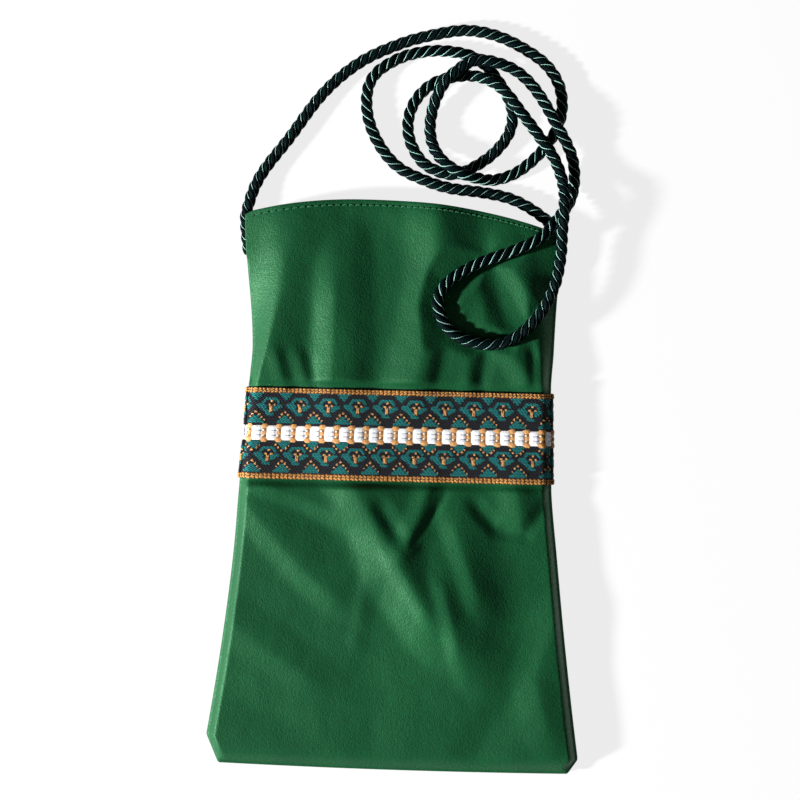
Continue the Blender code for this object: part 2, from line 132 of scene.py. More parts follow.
# The woven band
BAND_WIDTH = 0.049
BAND_CENTRE_Y = 0.0273
BAND_THICKNESS = 0.0013
BAND_SINK = 0.0008
BAND_MARGIN = 0.001
BAND_LOW_Y = BAND_CENTRE_Y - BAND_WIDTH / 2
BAND_HIGH_Y = BAND_CENTRE_Y + BAND_WIDTH / 2
BAND_SPACE = BAND_THICKNESS + CLEARANCE
BAND_LOWEST = 0.00005

# The mouth stitching
THREAD = 0.0007
STITCH_INSET = 0.0030
STITCH_REACH_FRONT = 0.0805
STITCH_REACH_BACK = 0.0735
STITCH_MARGIN = 0.006
STITCH_PITCH_LEFT = 0.0041
STITCH_PITCH_RIGHT = 0.0026
STITCH_SPACE = 1.4 * THREAD + 2 * CLEARANCE
STITCH_POINTS = 9
STITCH_SIDES = 8
STITCH_ENDS = (0.15, 0.85)
STITCH_TURNS = 6.0
STITCH_SLANT = 0.00025
SLANT_UNEVENNESS = 0.4
SLANT_CHANGE = 2.3
STITCH_RISE = 0.55 * THREAD
STITCH_DIP = 0.25 * THREAD
# Painted shade: a flat dark oval sunk into each needle hole, where only shade falls
HOLE_SHADE_SIZE = (0.00060, 0.00052, 0.00016)
HOLE_SHADE_SINK = 0.8 * STITCH_SINK
MOUTH_LIFT_RUN = 0.030

# The shoulder cord
CORD_DIAMETER = 0.006
CORD_STEP = 0.0011
CORD_LAY = 0.0172
ROUTE_STEPS = 16
ROUTE_SMOOTHINGS = 3
STRANDS = 3
STRAND_RADIUS = 0.00170
STRAND_OFFSET = 0.00160
STRAND_SIDES = 12
YARN_RADIUS = 0.00024
YARN_OFFSET = 0.00270
YARN_TURN = math.radians(40)
YARN_SIDES = 6
# How far out, how thick, how far ahead and how many sides: a strand and the yarn beside it
CORD_MEMBERS = (
    (STRAND_OFFSET, STRAND_RADIUS, 0.0, STRAND_SIDES),
    (YARN_OFFSET, YARN_RADIUS, YARN_TURN, YARN_SIDES),
)

# Millimetres: the cord's centre line, from its left end between the panels to its right end
CORD_ROUTE = (
    (-83.4, 124.4, 4.6), (-85.0, 135.7, 4.6), (-85.3, 146.0, 4.4), (-79.0, 165.1, 3.2),
    (-62.7, 187.8, 3.2), (-44.8, 212.6, 3.2), (-25.6, 229.4, 3.2), (-3.1, 240.3, 3.2),
    (16.4, 245.8, 3.2), (32.3, 248.1, 3.2), (48.4, 245.5, 3.2), (63.8, 238.6, 3.2),
    (76.5, 229.4, 3.2), (83.6, 217.0, 3.2), (84.0, 201.8, 3.2), (77.0, 187.0, 3.2),
    (63.2, 173.1, 3.2), (50.3, 167.5, 3.4), (38.2, 167.6, 8.6), (27.4, 171.3, 10.2),
    (19.0, 177.9, 8.2), (14.2, 187.6, 4.2), (13.5, 199.5, 4.2), (17.6, 213.6, 8.6),
    (24.3, 222.8, 10.2), (36.6, 230.7, 9.9), (48.5, 230.0, 8.8), (60.2, 225.4, 7.0),
    (70.5, 215.3, 7.2), (81.3, 197.2, 10.4), (90.0, 181.6, 6.8), (92.3, 169.3, 3.6),
    (89.8, 156.3, 7.4), (82.9, 146.1, 12.3), (74.3, 135.6, 15.8), (60.2, 128.2, 16.2),
    (40.0, 120.2, 16.0), (23.6, 109.3, 16.6), (19.5, 98.0, 16.8), (26.3, 84.5, 16.4),
    (41.5, 77.9, 16.0), (57.6, 79.3, 16.0), (72.3, 91.7, 16.0), (81.3, 108.0, 15.6),
    (84.8, 124.8, 15.2), (85.2, 140.8, 18.0), (86.0, 153.2, 17.4), (85.2, 166.1, 11.6),
    (80.4, 179.1, 9.8), (72.3, 190.5, 9.6), (62.0, 203.5, 9.8), (52.3, 215.2, 9.8),
    (41.7, 221.7, 7.4), (28.8, 223.2, 3.2), (13.2, 218.1, 3.2), (3.2, 205.8, 3.2),
    (1.6, 191.1, 3.2), (8.7, 176.9, 3.2), (19.2, 170.8, 3.2), (27.9, 169.9, 3.2),
    (37.6, 174.0, 3.2), (48.8, 182.4, 3.2), (56.7, 194.1, 3.2), (57.2, 207.2, 3.2),
    (49.0, 221.9, 3.2), (37.9, 232.8, 3.2), (24.2, 236.4, 3.2), (9.0, 236.0, 3.2),
    (-6.7, 230.9, 3.2), (-19.2, 220.3, 3.2), (-21.2, 203.7, 3.2), (-15.4, 187.2, 3.2),
    (-4.2, 173.6, 3.2), (11.2, 166.1, 3.2), (24.8, 162.2, 3.2), (42.3, 160.3, 3.2),
    (58.7, 157.0, 3.2), (72.4, 149.8, 3.8), (81.2, 141.8, 4.6), (83.7, 133.2, 4.6),
    (83.4, 127.7, 4.6),
)

# Where the cord's loop lies on the front, and how the leather stays below it
CORD_LOOP = [point for point in CORD_ROUTE if point[2] > 15.0]
LOOP_ROOM = 0.0001
LOOP_BANK = 0.35
LOOP_ROUNDING = 0.0004
NO_LOOP_HEIGHT = 0.1

# Soft folds of the front in millimetres: half width on each side of the run, height, and the (x, y)
# points it runs through
FOLDS = (
    (13, 36, 5.9, ((-35, 100), (-35, 78), (-36, 54))),
    (18, 8, -0.8, ((-50, 87), (-52, 64))),
    (12, 14, -1.4, ((-16, 132), (-14, 100), (-13, 58))),
    (20, 22, 6.8, ((18, 160), (21, 117), (17, 87), (9, 55))),
    (6, 6, -1.2, ((24, 77), (20, 56))),
    (9, 14, 3.2, ((57, 124), (65, 111), (75, 95))),
    (16, 10, 3, ((40, 112), (43, 100), (45, 90))),
    (9, 9, -0.7, ((40, 122), (50, 104), (60, 90))),
    (10, 8, 2.2, ((37, 73), (36, 56))),
    (6, 6, -1.1, ((46, 72), (44, 56))),
    (10, 10, 2.6, ((58, 76), (69, 60))),
    (4, 4, -0.9, ((71, 73), (72, 57))),
    (18, 30, 4.6, ((-61, 125), (-65, 103), (-72, 74))),
    (6, 5, 1.4, ((-54, 67), (-50, 53))),
    (4, 4, -0.5, ((-47, 65), (-46, 53))),
    (6, 5, 1.2, ((-66, 67), (-62, 53))),
    (17, 40, 7, ((-24, 3), (-12, -17), (-3, -43), (14, -67))),
    (6, 7, -1.9, ((-7, -14), (1, -27))),
    (8, 16, 3.2, ((3, -43), (16, -64))),
    (8, 28, 3.4, ((28, -58), (34, -82))),
    (8, 8, 2.3, ((18, 2), (13, -13), (6, -29))),
    (3, 3, -0.7, ((25, -6), (16, -20), (10, -29))),
    (10, 22, 3.6, ((33, -24), (43, -52))),
    (6, 6, -1.6, ((44, -11), (54, -22), (69, -24), (80, -10))),
    (12, 12, 3, ((63, 5), (66, -10))),
    (8, 22, 2.8, ((-71, 0), (-50, -7), (-33, -15))),
    (11, 24, 3, ((-78, -13), (-65, -29), (-51, -44), (-37, -56))),
    (12, 16, 1.9, ((-85, -77), (-67, -90), (-48, -102))),
    (16, 16, -1, ((-84, -117), (-64, -125))),
    (16, 16, -0.7, ((-13, -115), (-10, -142))),
    (6, 8, 0.7, ((-16, -53), (-20, -83))),
    (14, 12, 2.1, ((87, -70), (76, -102), (83, -127))),
    (14, 14, -1.4, ((73, -94), (61, -116), (47, -142))),
)

# The photograph's view: its scale on the floor, and where the bag's middle lies in it
PHOTO_PIXELS = 800
METRES_PER_PIXEL = 0.545e-3
BAG_PIXEL = (397.25, 485.4)
VIEW_ROLL = math.radians(1.35)
CAMERA_HEIGHT = 1.0
SENSOR = 36.0


# Plain helpers


def smooth(value):
    """An even step from 0 to 1."""
    value = np.clip(value, 0.0, 1.0)
    return value * value * (3.0 - 2.0 * value)


def finished(name, shape, finishes):
    """A bmesh as a smoothly shaded object with its finishes."""
    mesh = bpy.data.meshes.new(name)
    shape.to_mesh(mesh)
    shape.free()
    made = bpy.data.objects.new(name, mesh)
    bpy.context.scene.collection.objects.link(made)
    for finish in finishes:
        mesh.materials.append(finish)
    mesh.shade_smooth()
    return made


def new_shape():
    """An empty bmesh with a map."""
    shape = bmesh.new()
    shape.loops.layers.uv.new("UVMap")
    return shape


def grid_shape(columns, rows):
    """A flat grid of points, and those points row by row."""
    shape = new_shape()
    bmesh.ops.create_grid(shape, x_segments=columns - 1, y_segments=rows - 1, size=1.0, calc_uvs=True)
    shape.verts.ensure_lookup_table()
    return shape, [shape.verts[row * columns : (row + 1) * columns] for row in range(rows)]


def stretch_uvs(shape, width, height):
    """Turns a grid's 0 to 1 map into counts across and along."""
    layer = shape.loops.layers.uv.active
    for face in shape.faces:
        for loop in face.loops:
            u, v = loop[layer].uv
            loop[layer].uv = (u * width, v * height)


def directions(places):
    """The unit direction of a line at each of its places."""
    ways = np.gradient(places, axis=0)
    return ways / np.linalg.norm(ways, axis=1)[:, None]


def along_piece(x, y, start, end):
    """How far along a straight piece each place lies, and how far off to its side, in the piece's unit."""
    way = np.subtract(end[:2], start[:2]) / math.hypot(end[0] - start[0], end[1] - start[1])
    across = (x - start[0], y - start[1])
    return across[0] * way[0] + across[1] * way[1], way[0] * across[1] - way[1] * across[0]


# The bag's shape


def half_width(y, side):
    """Half the bag's width at y, on its left (-1) or right (1) side."""
    height = y - BASE_Y
    left = side < 0
    cut_width = np.where(left, CORNER_CUT_LEFT[0], CORNER_CUT_RIGHT[0])
    cut_height = np.where(left, CORNER_CUT_LEFT[1], CORNER_CUT_RIGHT[1])
    above = np.clip((height - WAIST_ABOVE_BASE) / (BAG_LENGTH - WAIST_ABOVE_BASE), 0.0, 1.0)
    top = WAIST_WIDTH + (MOUTH_WIDTH - WAIST_WIDTH) * smooth(above)
    below = np.clip((WAIST_ABOVE_BASE - height) / (WAIST_ABOVE_BASE - cut_height), 0.0, 1.0)
    low = WAIST_WIDTH + (BASE_WIDTH - WAIST_WIDTH) * below**BASE_FLARE
    corner = cut_width * np.clip(1.0 - np.maximum(height, 0.0) / cut_height, 0.0, 1.0)
    return np.where(height > WAIST_ABOVE_BASE, top, low) / 2 - corner


def mouth_drop(x):
    """How far the mouth's edge falls below its crest."""
    across = x - MOUTH_CREST_X
    left = np.maximum(-across, 0.0) / (MOUTH_WIDTH / 2 + MOUTH_CREST_X)
    right = np.maximum(across, 0.0) / (MOUTH_WIDTH / 2 - MOUTH_CREST_X)
    corner = np.maximum(np.abs(x) - MOUTH_WIDTH / 2 + MOUTH_CORNER_RUN, 0.0) / MOUTH_CORNER_RUN
    sides = MOUTH_DROP_LEFT * left**MOUTH_CURVE_LEFT + MOUTH_DROP_RIGHT * right**MOUTH_CURVE_RIGHT
    return sides + MOUTH_CORNER_DROP * corner**2


def swell(y, middle, runs):
    """1 at a height along the bag, fading over one run below it and another above it."""
    run = np.where(y < middle, runs[0], runs[1])
    return np.exp(-(((y - middle) / run) ** 2))


def sway(y):
    """How far the lying bag's middle stands to the right at y."""
    right = SWAY_ABOVE * swell(y, SWAY_ABOVE_Y, SWAY_ABOVE_RUNS)
    right += BASE_SHIFT * smooth((BAND_LOW_Y - y) / BASE_SHIFT_RUN)
    return right - SWAY_BELOW * swell(y, SWAY_BELOW_Y, SWAY_BELOW_RUNS)


def seam_closed(y):
    """1 where the side seam is sewn, 0 along its open top."""
    open_from = CREST_Y - MOUTH_DROP_RIGHT / 2 - SEAM_OPEN_LENGTH
    return 1.0 - smooth((y - open_from) / SEAM_CLOSING_RUN)


def lie(share, y):
    """The place on the lying bag of a share across it and a height along it."""
    edge = half_width(y, share) - SEAM_FOLD_RADIUS * seam_closed(y)
    x = share * edge + sway(y)
    above = np.maximum(y - BAND_HIGH_Y, 0.0) / (CREST_Y - BAND_HIGH_Y)
    below = np.maximum(BAND_LOW_Y - y, 0.0) / (BAND_LOW_Y - BASE_Y)
    skew = BASE_SKEW * (0.5 - x / BASE_WIDTH) - BASE_BOW * (1.0 - share**2)
    return x, y - mouth_drop(x) * above**2 + (SEAM_FOLD_RADIUS + skew) * below


def near_band(y):
    """1 under the band, falling to 0 beyond its edges."""
    outside = np.maximum(y - BAND_HIGH_Y, BAND_LOW_Y - y) - BAND_MARGIN
    return 1.0 - smooth(outside / LIFT_RUN)


def back_edge_height(y):
    """The outer face of the back along its side edges, which clears the band under it."""
    return BAND_SPACE * near_band(y)


def back_height(x, y):
    """The outer face of the back, which clears the band and the stitching under it."""
    near_mouth = smooth(1.0 - (CREST_Y - MOUTH_DROP_RIGHT - y) / MOUTH_LIFT_RUN)
    inside = smooth((STITCH_REACH_BACK + STITCH_MARGIN - np.abs(x)) / STITCH_MARGIN)
    return back_edge_height(y) + STITCH_SPACE * near_mouth * inside


def edge_height(y):
    """The outer face of the front at the side seam, over both turned allowances."""
    sewn = back_edge_height(y) + 4 * SEAM_FOLD_RADIUS + CLEARANCE
    closed = smooth((CREST_Y - SEAM_OPEN_LENGTH - y) / OPEN_SEAM_RISE_RUN)
    return FRONT_TOP_AT_OPEN_SEAM + (sewn - FRONT_TOP_AT_OPEN_SEAM) * closed


def roof(share):
    """A fold's section over its half width: even slopes, soft at the crest and the foot."""
    rise = 1.0 - np.hypot(share, FOLD_CREST_ROUNDING)
    return 0.5 * (rise + np.sqrt(rise**2 + FOLD_FOOT_ROUNDING**2))


def fold_height(x, y):
    """The soft folds, each with its own width on either side of its run and tapering past its ends."""
    total = np.zeros_like(x)
    for half_left, half_right, height, points in FOLDS:
        strongest = np.zeros_like(x)
        last = len(points) - 2
        for index, (start, end) in enumerate(zip(points, points[1:])):
            along, sideways = along_piece(x / MM, y / MM, start, end)
            beyond = along - np.clip(along, 0.0, math.dist(start, end))
            tapering = (beyond < 0) if index == 0 else np.zeros_like(x, dtype=bool)
            if index == last:
                tapering = tapering | (beyond > 0)
            beyond = np.where(tapering, beyond * FOLD_TAPER, beyond)
            gap = np.hypot(beyond, sideways)
            lean = sideways / np.maximum(gap, LEAST_GAP)
            half = half_left + (half_right - half_left) * (0.5 + 0.5 * lean)
            strongest = np.maximum(strongest, roof(gap / half))
        total += height * MM * strongest
    return total


def rounded(distance, shoulder):
    """0 at an edge and 1 past the shoulder, along a quarter of a wave."""
    return np.sin(np.pi / 2 * np.clip(distance / shoulder, 0.0, 1.0))


def side_shoulder(y):
    """How wide the rounded shoulder is along the sides, wider towards the mouth."""
    wider = smooth((y - BAND_HIGH_Y) / SHOULDER_RUN)
    return SHOULDER_AT_SIDES + (SHOULDER_AT_MOUTH - SHOULDER_AT_SIDES) * wider


def under_loop(x, y):
    """The highest the front may stand at each place, which leaves the cord's loop lying free on it."""
    highest = np.full_like(x, NO_LOOP_HEIGHT)
    for start, end in zip(CORD_LOOP, CORD_LOOP[1:]):
        along, sideways = along_piece(x / MM, y / MM, start, end)
        length = math.dist(start[:2], end[:2])
        near = np.clip(along, 0.0, length)
        gap = np.hypot(along - near, sideways) * MM
        middle = (start[2] + (end[2] - start[2]) * near / length) * MM
        rest = middle - STRAND_OFFSET - STRAND_RADIUS - LOOP_ROOM
        highest = np.minimum(highest, rest + LOOP_BANK * np.maximum(gap - CORD_DIAMETER / 2, 0.0))
    return highest


def front_height(x, y, edge, from_base):
    """The outer face of the front, at a distance inside its side edge and above its bottom edge."""
    calm = near_band(y)
    flat = FRONT_TOP - BAND_SINK * calm
    flat = flat + (FRONT_TOP_AT_MOUTH - FRONT_TOP) * smooth(1.0 - (CREST_Y - y) / MOUTH_FALL_RUN)
    full = rounded(edge, side_shoulder(y)) * rounded(from_base, SHOULDER_AT_BASE)
    low = edge_height(y)
    near_crest = rounded(CREST_Y + FOLD_END_BEYOND_MOUTH - y, FOLD_CALMING_RUN)
    folded = fold_height(x, y) * (1.0 - FOLD_CALMED_BY_BAND * calm) * near_crest
    height = low + (flat - low + folded) * full
    spare = under_loop(x, y) - height
    return height + 0.5 * (spare - np.sqrt(spare**2 + LOOP_ROUNDING**2))


def front_places(share, y):
    """The front's outer face at each share across it and height along it."""
    x, place = lie(share, y)
    edge = (1.0 - np.abs(share)) * half_width(y, share)
    return np.stack((x, place, front_height(x, place, edge, y - BASE_Y)), axis=-1)


def back_places(share, y):
    """The back's outer face in the same way."""
    x, place = lie(share, y)
    return np.stack((x, place, back_height(x, place)), axis=-1)


def ripple(places, inset):
    """The skin's own unevenness, which fades towards the edges."""
    out = places.copy()
    fade = np.minimum(inset / SHOULDER_AT_MOUTH, 1.0)
    for index in np.ndindex(fade.shape):
        x, y, z = places[index]
        wave = noise.noise(Vector((x, y * RIPPLE_SQUEEZE, z)) / RIPPLE_LENGTH)
        wave += FINE_RIPPLE_SHARE * noise.noise(Vector((x + 1.0, y, z)) / FINE_RIPPLE_LENGTH)
        out[index][2] = z + RIPPLE * wave * fade[index]
    return out


# The leather panels


def panel_columns(pitch):
    """Places across the bag from -1 to 1, closer together near the edges."""
    count = 2 * round(BASE_WIDTH / pitch / 2)
    even = np.linspace(-1.0, 1.0, count + 1)
    return even * (1.0 + EDGE_CROWDING * (1.0 - even**2))


def panel_rows(pitch):
    """Places along the bag, closer together at the bottom, with rows on the hem and its stitching."""
    shares = np.linspace(0.0, 1.0, round(CLOSE_ROWS_SHARE * CLOSE_ROWS / pitch))
    low = [BASE_Y + CLOSE_ROWS * share**CLOSE_ROWS_CROWDING for share in shares]
    start, end = low[-1], CREST_Y - HEM_DEPTH
    count = round((end - start) / pitch)
    middle = [start + (end - start) * index / count for index in range(1, count + 1)]
    hem = [end + rise for rise in ROWS_OVER_HEM_EDGE]
    hem += [CREST_Y - STITCH_INSET + rise for rise in ROWS_AT_STITCHING]
    hem += [CREST_Y + rise for rise in ROWS_AT_MOUTH]
    return np.array(low + middle + hem)


def hem_relief(y):
    """The stitching pulls the hem down into a shallow channel and its edge rolls over."""
    channel = np.exp(-(((CREST_Y - STITCH_INSET - y) / STITCH_CHANNEL) ** 2))
    roll = smooth(1.0 - (CREST_Y - y) / MOUTH_ROLL_RUN)
    return -STITCH_SINK * channel - MOUTH_ROLL_DROP * roll


def outline_normal(ring, index):
    """The outward direction of the outline at one of its points, level with the ground."""
    before = ring[max(index - 1, 0)].co
    after = ring[min(index + 1, len(ring) - 1)].co
    along = (after - before).xy.normalized()
    return Vector((along.y, -along.x, 0.0))


def sewn_edge(grid, rows):
    """The edge's sewn points, left side, bottom and right side, and how closed the seam is at each."""
    top = max(row for row, y in enumerate(rows) if seam_closed(y) > SEWN_FROM)
    left = [line[0] for line in grid[top:0:-1]]
    right = [line[-1] for line in grid[1 : top + 1]]
    heights = [float(seam_closed(y)) for y in rows]
    closed = heights[top:0:-1] + [1.0] * len(grid[0]) + heights[1 : top + 1]
    return left + list(grid[0]) + right, closed


def turn_allowance(shape, ring, closed, corners, up):
    """Folds the sewn edge over by half a turn and runs the seam allowance back inside the bag.

    Towards the open top of a side seam the fold unrolls and the allowance runs out.
    """
    normals = [outline_normal(ring, index) for index in range(len(ring))]
    starts = [vert.co.copy() for vert in ring]
    depths = []
    for start in starts:
        from_notch = float(smooth(min((start - corner.co).length for corner in corners) / CORNER_NOTCH))
        depths.append(NOTCHED_ALLOWANCE + (SEAM_ALLOWANCE - NOTCHED_ALLOWANCE) * from_notch)
    turned = []
    for step in range(1, FOLD_STEPS + 1):
        angles = [math.pi * share * step / FOLD_STEPS for share in closed]
        turned.append([
            (SEAM_FOLD_RADIUS * share * math.sin(angle), SEAM_FOLD_RADIUS * (1.0 - math.cos(angle)))
            for share, angle in zip(closed, angles)
        ])
    last = []
    for share, depth, (outward, down) in zip(closed, depths, turned[-1]):
        angle = math.pi * share
        kept = float(smooth((share - ALLOWANCE_FROM) / (1.0 - ALLOWANCE_FROM)))
        run = SHORTEST_ALLOWANCE + (depth - SHORTEST_ALLOWANCE) * kept
        last.append((outward + run * math.cos(angle), down + run * math.sin(angle)))
    turned.append(last)
    previous = list(ring)
    for steps in turned:
        edges = [shape.edges.get(pair) for pair in zip(previous, previous[1:])]
        made = bmesh.ops.extrude_edge_only(shape, edges=edges)["geom"]
        new = {item for item in made if isinstance(item, bmesh.types.BMVert)}
        current = [
            next(edge.other_vert(vert) for edge in vert.link_edges if edge.other_vert(vert) in new)
            for vert in previous
        ]
        for vert, start, normal, (outward, down) in zip(current, starts, normals, steps):
            vert.co = start + normal * outward + Vector((0.0, 0.0, -down * up))
        previous = current


def panel(name, places_at, up, pitch, finishes):
    """One leather panel: its outer face as a grid, its allowances turned in, then its thickness."""
    columns = panel_columns(pitch)
    rows = panel_rows(pitch)
    shape, grid = grid_shape(len(columns), len(rows))
    share, y = np.meshgrid(columns, rows)
    places = places_at(share, y)
    places[..., 2] += up * hem_relief(y)
    inset = np.minimum((1.0 - np.abs(share)) * half_width(y, share), y - BASE_Y)
    if up > 0:
        inset = inset * (1.0 - near_band(places[..., 1]))
        places = ripple(places, inset)
    hem = []
    for row, line in enumerate(grid):
        for column, vert in enumerate(line):
            vert.co = places[row, column]
            inside = (1.0 - abs(columns[column])) * MOUTH_WIDTH / 2 > HEM_END_INSET
            if rows[row] > CREST_Y - HEM_DEPTH + ROWS_OVER_HEM_EDGE[0] / 2 and inside:
                hem.append(vert.index)
    stretch_uvs(shape, BASE_WIDTH, BAG_LENGTH)
    ring, closed = sewn_edge(grid, rows)
    turn_allowance(shape, ring, closed, (grid[0][0], grid[0][-1]), up)
    bmesh.ops.recalc_face_normals(shape, faces=shape.faces)
    if grid[len(rows) // 2][len(columns) // 2].normal.z * up < 0:
        bmesh.ops.reverse_faces(shape, faces=shape.faces)
    made = finished(name, shape, finishes)
    doubled = made.vertex_groups.new(name="thickness")
    doubled.add(list(range(len(made.data.vertices))), 0.5, "REPLACE")
    doubled.add(hem, 1.0, "REPLACE")
    wall = made.modifiers.new("leather", "SOLIDIFY")
    wall.thickness = 2 * LEATHER
    wall.offset = -1.0
    wall.use_even_offset = True
    wall.vertex_group = doubled.name
    wall.material_offset = 1
    wall.material_offset_rim = 2
    return made


# The woven band's pattern, in millimetres from the middle of a motif and down from the field's top

PATTERN_REPEAT = 15.73
PATTERN_START = -67.95
PATTERN_LEAN = -0.35 / 26.3
SELVEDGE = 2.9
BLACK_LINE = 0.45
UPPER_FIELD_TOP = 21.9
LOWER_FIELD_TOP = -4.5
BLOCK_START = -35.1
BLOCK_HALF_WIDTH = 2.50
BLOCK_HALF_HEIGHT = 3.70
RIB_HEIGHT = 2 * BLOCK_HALF_HEIGHT / 3
NOTCH_DEPTH = 1.2
KNOT_ROW_HALF_HEIGHT = 4.90
CELLS_PER_REPEAT = 32
CELL = PATTERN_REPEAT / CELLS_PER_REPEAT
BAND_CELL_ROWS = 100
BAND_BACK_ROWS = 6
SIDE_CELLS = 4
BRAID_PITCH = 2.2
BRAID_LEAN = 0.75
BRAID_PLY_FLOOR = 0.35
BRAID_SHADE_BELOW = 0.62
BRAID_LOW = 0.10
BRAID_RISE = 0.50

# Knots, painted pale glints and blocks of the middle row: where they lie, their half sizes and how far they
# rise
KNOT_FROM = 0.15
OUTER_KNOT_ACROSS = 3.65
OUTER_KNOT_HALVES = (2.05, 1.35)
OUTER_KNOT_RISE = 0.60
MIDDLE_KNOT_ALONG = 0.15
MIDDLE_KNOT_HALVES = (1.25, 1.15)
MIDDLE_KNOT_RISE = 0.55
GLINT_PLACE = (-0.75, 1.45)
GLINT_HALVES = (0.60, 0.55)
GLINT_RISE = 0.35
KNOT_GAP_HALF_HEIGHT = 3.2
KNOT_GAP_RISE = 0.25
BLOCK_RISE = 0.55
RIB_HALF = 0.56 * RIB_HEIGHT
RIB_FLOOR = 0.45
NOTCH_HALF = 0.42
NOTCH_RISE = 0.05
# Where the painted shade lies in the grooves between the white ribs
GROOVE_SHADE_HALF = 0.13 * RIB_HEIGHT
GROOVE_SHADE_START = -0.2 * BLOCK_HALF_WIDTH

# The band's relief in millimetres: how it stands over its ground, rolls at its rims and scallops
PATTERN_SINK = 0.30
RIM_FALL = 0.45
RIM_RUN = 0.8
SCALLOP = 0.22
SCALLOP_INSET = 0.6

# How unevenly the threads are dyed from stitch to stitch
TONE_UNEVENNESS = 0.25
TONE_STEPS = (0.63, 0.71)
BRIGHTEST = 0.95

# Runs of teal and of tan thread in a motif: two ends and half a thickness
TEAL_RUNS = (
    (-4.0, 5.4, -2.7, 3.6, 0.75), (-2.7, 3.5, 2.6, 3.5, 0.75), (2.6, 3.5, 4.0, 5.3, 0.75),
    (-6.6, 6.9, -1.6, 10.6, 1.00), (-5.4, 6.7, -3.0, 7.6, 0.90), (1.9, 7.9, 5.2, 7.5, 0.90),
    (1.8, 9.4, 3.5, 8.8, 0.70), (-2.0, 11.6, 0.9, 12.0, 0.75),
)
TAN_RUNS = (
    (0.3, 4.7, 0.5, 4.7, 0.55), (-1.1, 6.7, -0.7, 6.9, 0.55), (1.9, 6.8, 1.9, 6.8, 0.60),
    (-0.5, 7.8, -0.5, 10.2, 0.42), (0.35, 7.8, 0.35, 10.2, 0.42),
)
# The same between the motifs
TEAL_RUNS_BETWEEN = (
    (-2.8, 0.5, 2.8, 0.5, 0.75), (-1.7, 1.9, 1.7, 1.9, 0.75), (-0.3, 3.3, 0.4, 3.4, 0.70),
    (-0.6, 13.1, 0.8, 13.1, 0.70), (-2.2, 14.5, 2.4, 14.6, 0.75), (-3.8, 15.9, 3.9, 16.0, 0.70),
)
TAN_RUNS_BETWEEN = (
    (0.0, 10.5, 0.0, 10.5, 0.60), (-1.7, 11.9, -1.7, 11.9, 0.55), (1.7, 12.0, 1.7, 12.0, 0.60),
    (-3.0, 13.4, -3.0, 13.4, 0.45), (3.0, 13.6, 3.0, 13.6, 0.50), (4.4, 14.9, 4.4, 14.9, 0.45),
)
# The tan dots that hang below the blocks
TAN_RUNS_HANGING = (
    (-4.1, 1.9, -4.1, 1.9, 0.45), (-2.6, 3.3, -2.6, 3.3, 0.50), (-0.6, 4.9, -0.6, 4.9, 0.55),
    (1.6, 3.6, 1.6, 3.6, 0.55), (3.0, 2.2, 3.0, 2.2, 0.45),
)

# The threads' colours, with painted shade and painted highlights among them
BLACK = (0.0110, 0.0120, 0.0165)
TEAL = (0.0085, 0.150, 0.148)
TAN = (0.64, 0.32, 0.115)
PALE_TAN = (0.56, 0.265, 0.072)
# Painted shade between the selvedge braid's strands, a darker copy of its tan
BRAID_GAP_SHADE = (0.085, 0.032, 0.010)
# Painted shade on the ground between the tan knots, a darker copy of their tan
KNOT_GAP_SHADE = (0.260, 0.115, 0.036)
# Painted highlights: small pale glints beside the knots
CREAM_GLINT = (0.86, 0.78, 0.66)
WHITE = (0.86, 0.86, 0.88)
# Painted shade in the grooves between the white blocks' ribs
WHITE_GROOVE_SHADE = (0.42, 0.42, 0.48)
# Painted shade in the V notches at the blocks' right ends
NOTCH_SHADE = (0.120, 0.105, 0.120)
# Each thread's colour, how far it stands up in millimetres, and how strongly the weave shows on it
THREADS = {
    "black": (BLACK, 0.0, 1.0),
    "teal": (TEAL, 0.22, 1.0),
    "tan": (TAN, 0.38, 0.6),
    "white": (WHITE, 0.0, 0.12),
    "white groove shade": (WHITE_GROOVE_SHADE, 0.0, 0.1),
    "notch shade": (NOTCH_SHADE, 0.0, 0.2),
    "knot": (TAN, 0.0, 0.25),
    "knot gap shade": (KNOT_GAP_SHADE, 0.0, 0.3),
    "cream glint": (CREAM_GLINT, 0.0, 0.1),
    "braid": (PALE_TAN, 0.0, 0.25),
    "braid gap shade": (BRAID_GAP_SHADE, 0.0, 0.3),
}


def in_any(x, y, runs):
    """Whether a place lies within half a thickness of one of some runs of thread."""
    for x0, y0, x1, y1, half in runs:
        length = (x1 - x0) ** 2 + (y1 - y0) ** 2
        share = 0.0 if length == 0.0 else ((x - x0) * (x1 - x0) + (y - y0) * (y1 - y0)) / length
        share = min(max(share, 0.0), 1.0)
        if math.hypot(x - x0 - share * (x1 - x0), y - y0 - share * (y1 - y0)) <= half:
            return True
    return False


def beside(value, middle, repeat):
    """How far a value is from the nearest repeat of a middle."""
    return (value - middle + repeat / 2) % repeat - repeat / 2


def dome(x, y, half_x, half_y):
    """A rounded rise, 1 at its middle and 0 at and beyond an oval's edge."""
    return math.sqrt(max(0.0, 1.0 - (x / half_x) ** 2 - (y / half_y) ** 2))


def braid(along, inset):
    """The selvedge's two rows of slanted strands: 1 on a strand's back and 0 between strands."""
    row = min(int(2 * inset / SELVEDGE), 1)
    lean = BRAID_LEAN * inset + 0.5 * row * BRAID_PITCH
    strand = abs(math.sin(math.pi * (along + lean) / BRAID_PITCH))
    ply = abs(math.sin(2 * math.pi * inset / SELVEDGE))
    return math.sqrt(strand) * (BRAID_PLY_FLOOR + (1.0 - BRAID_PLY_FLOOR) * ply)


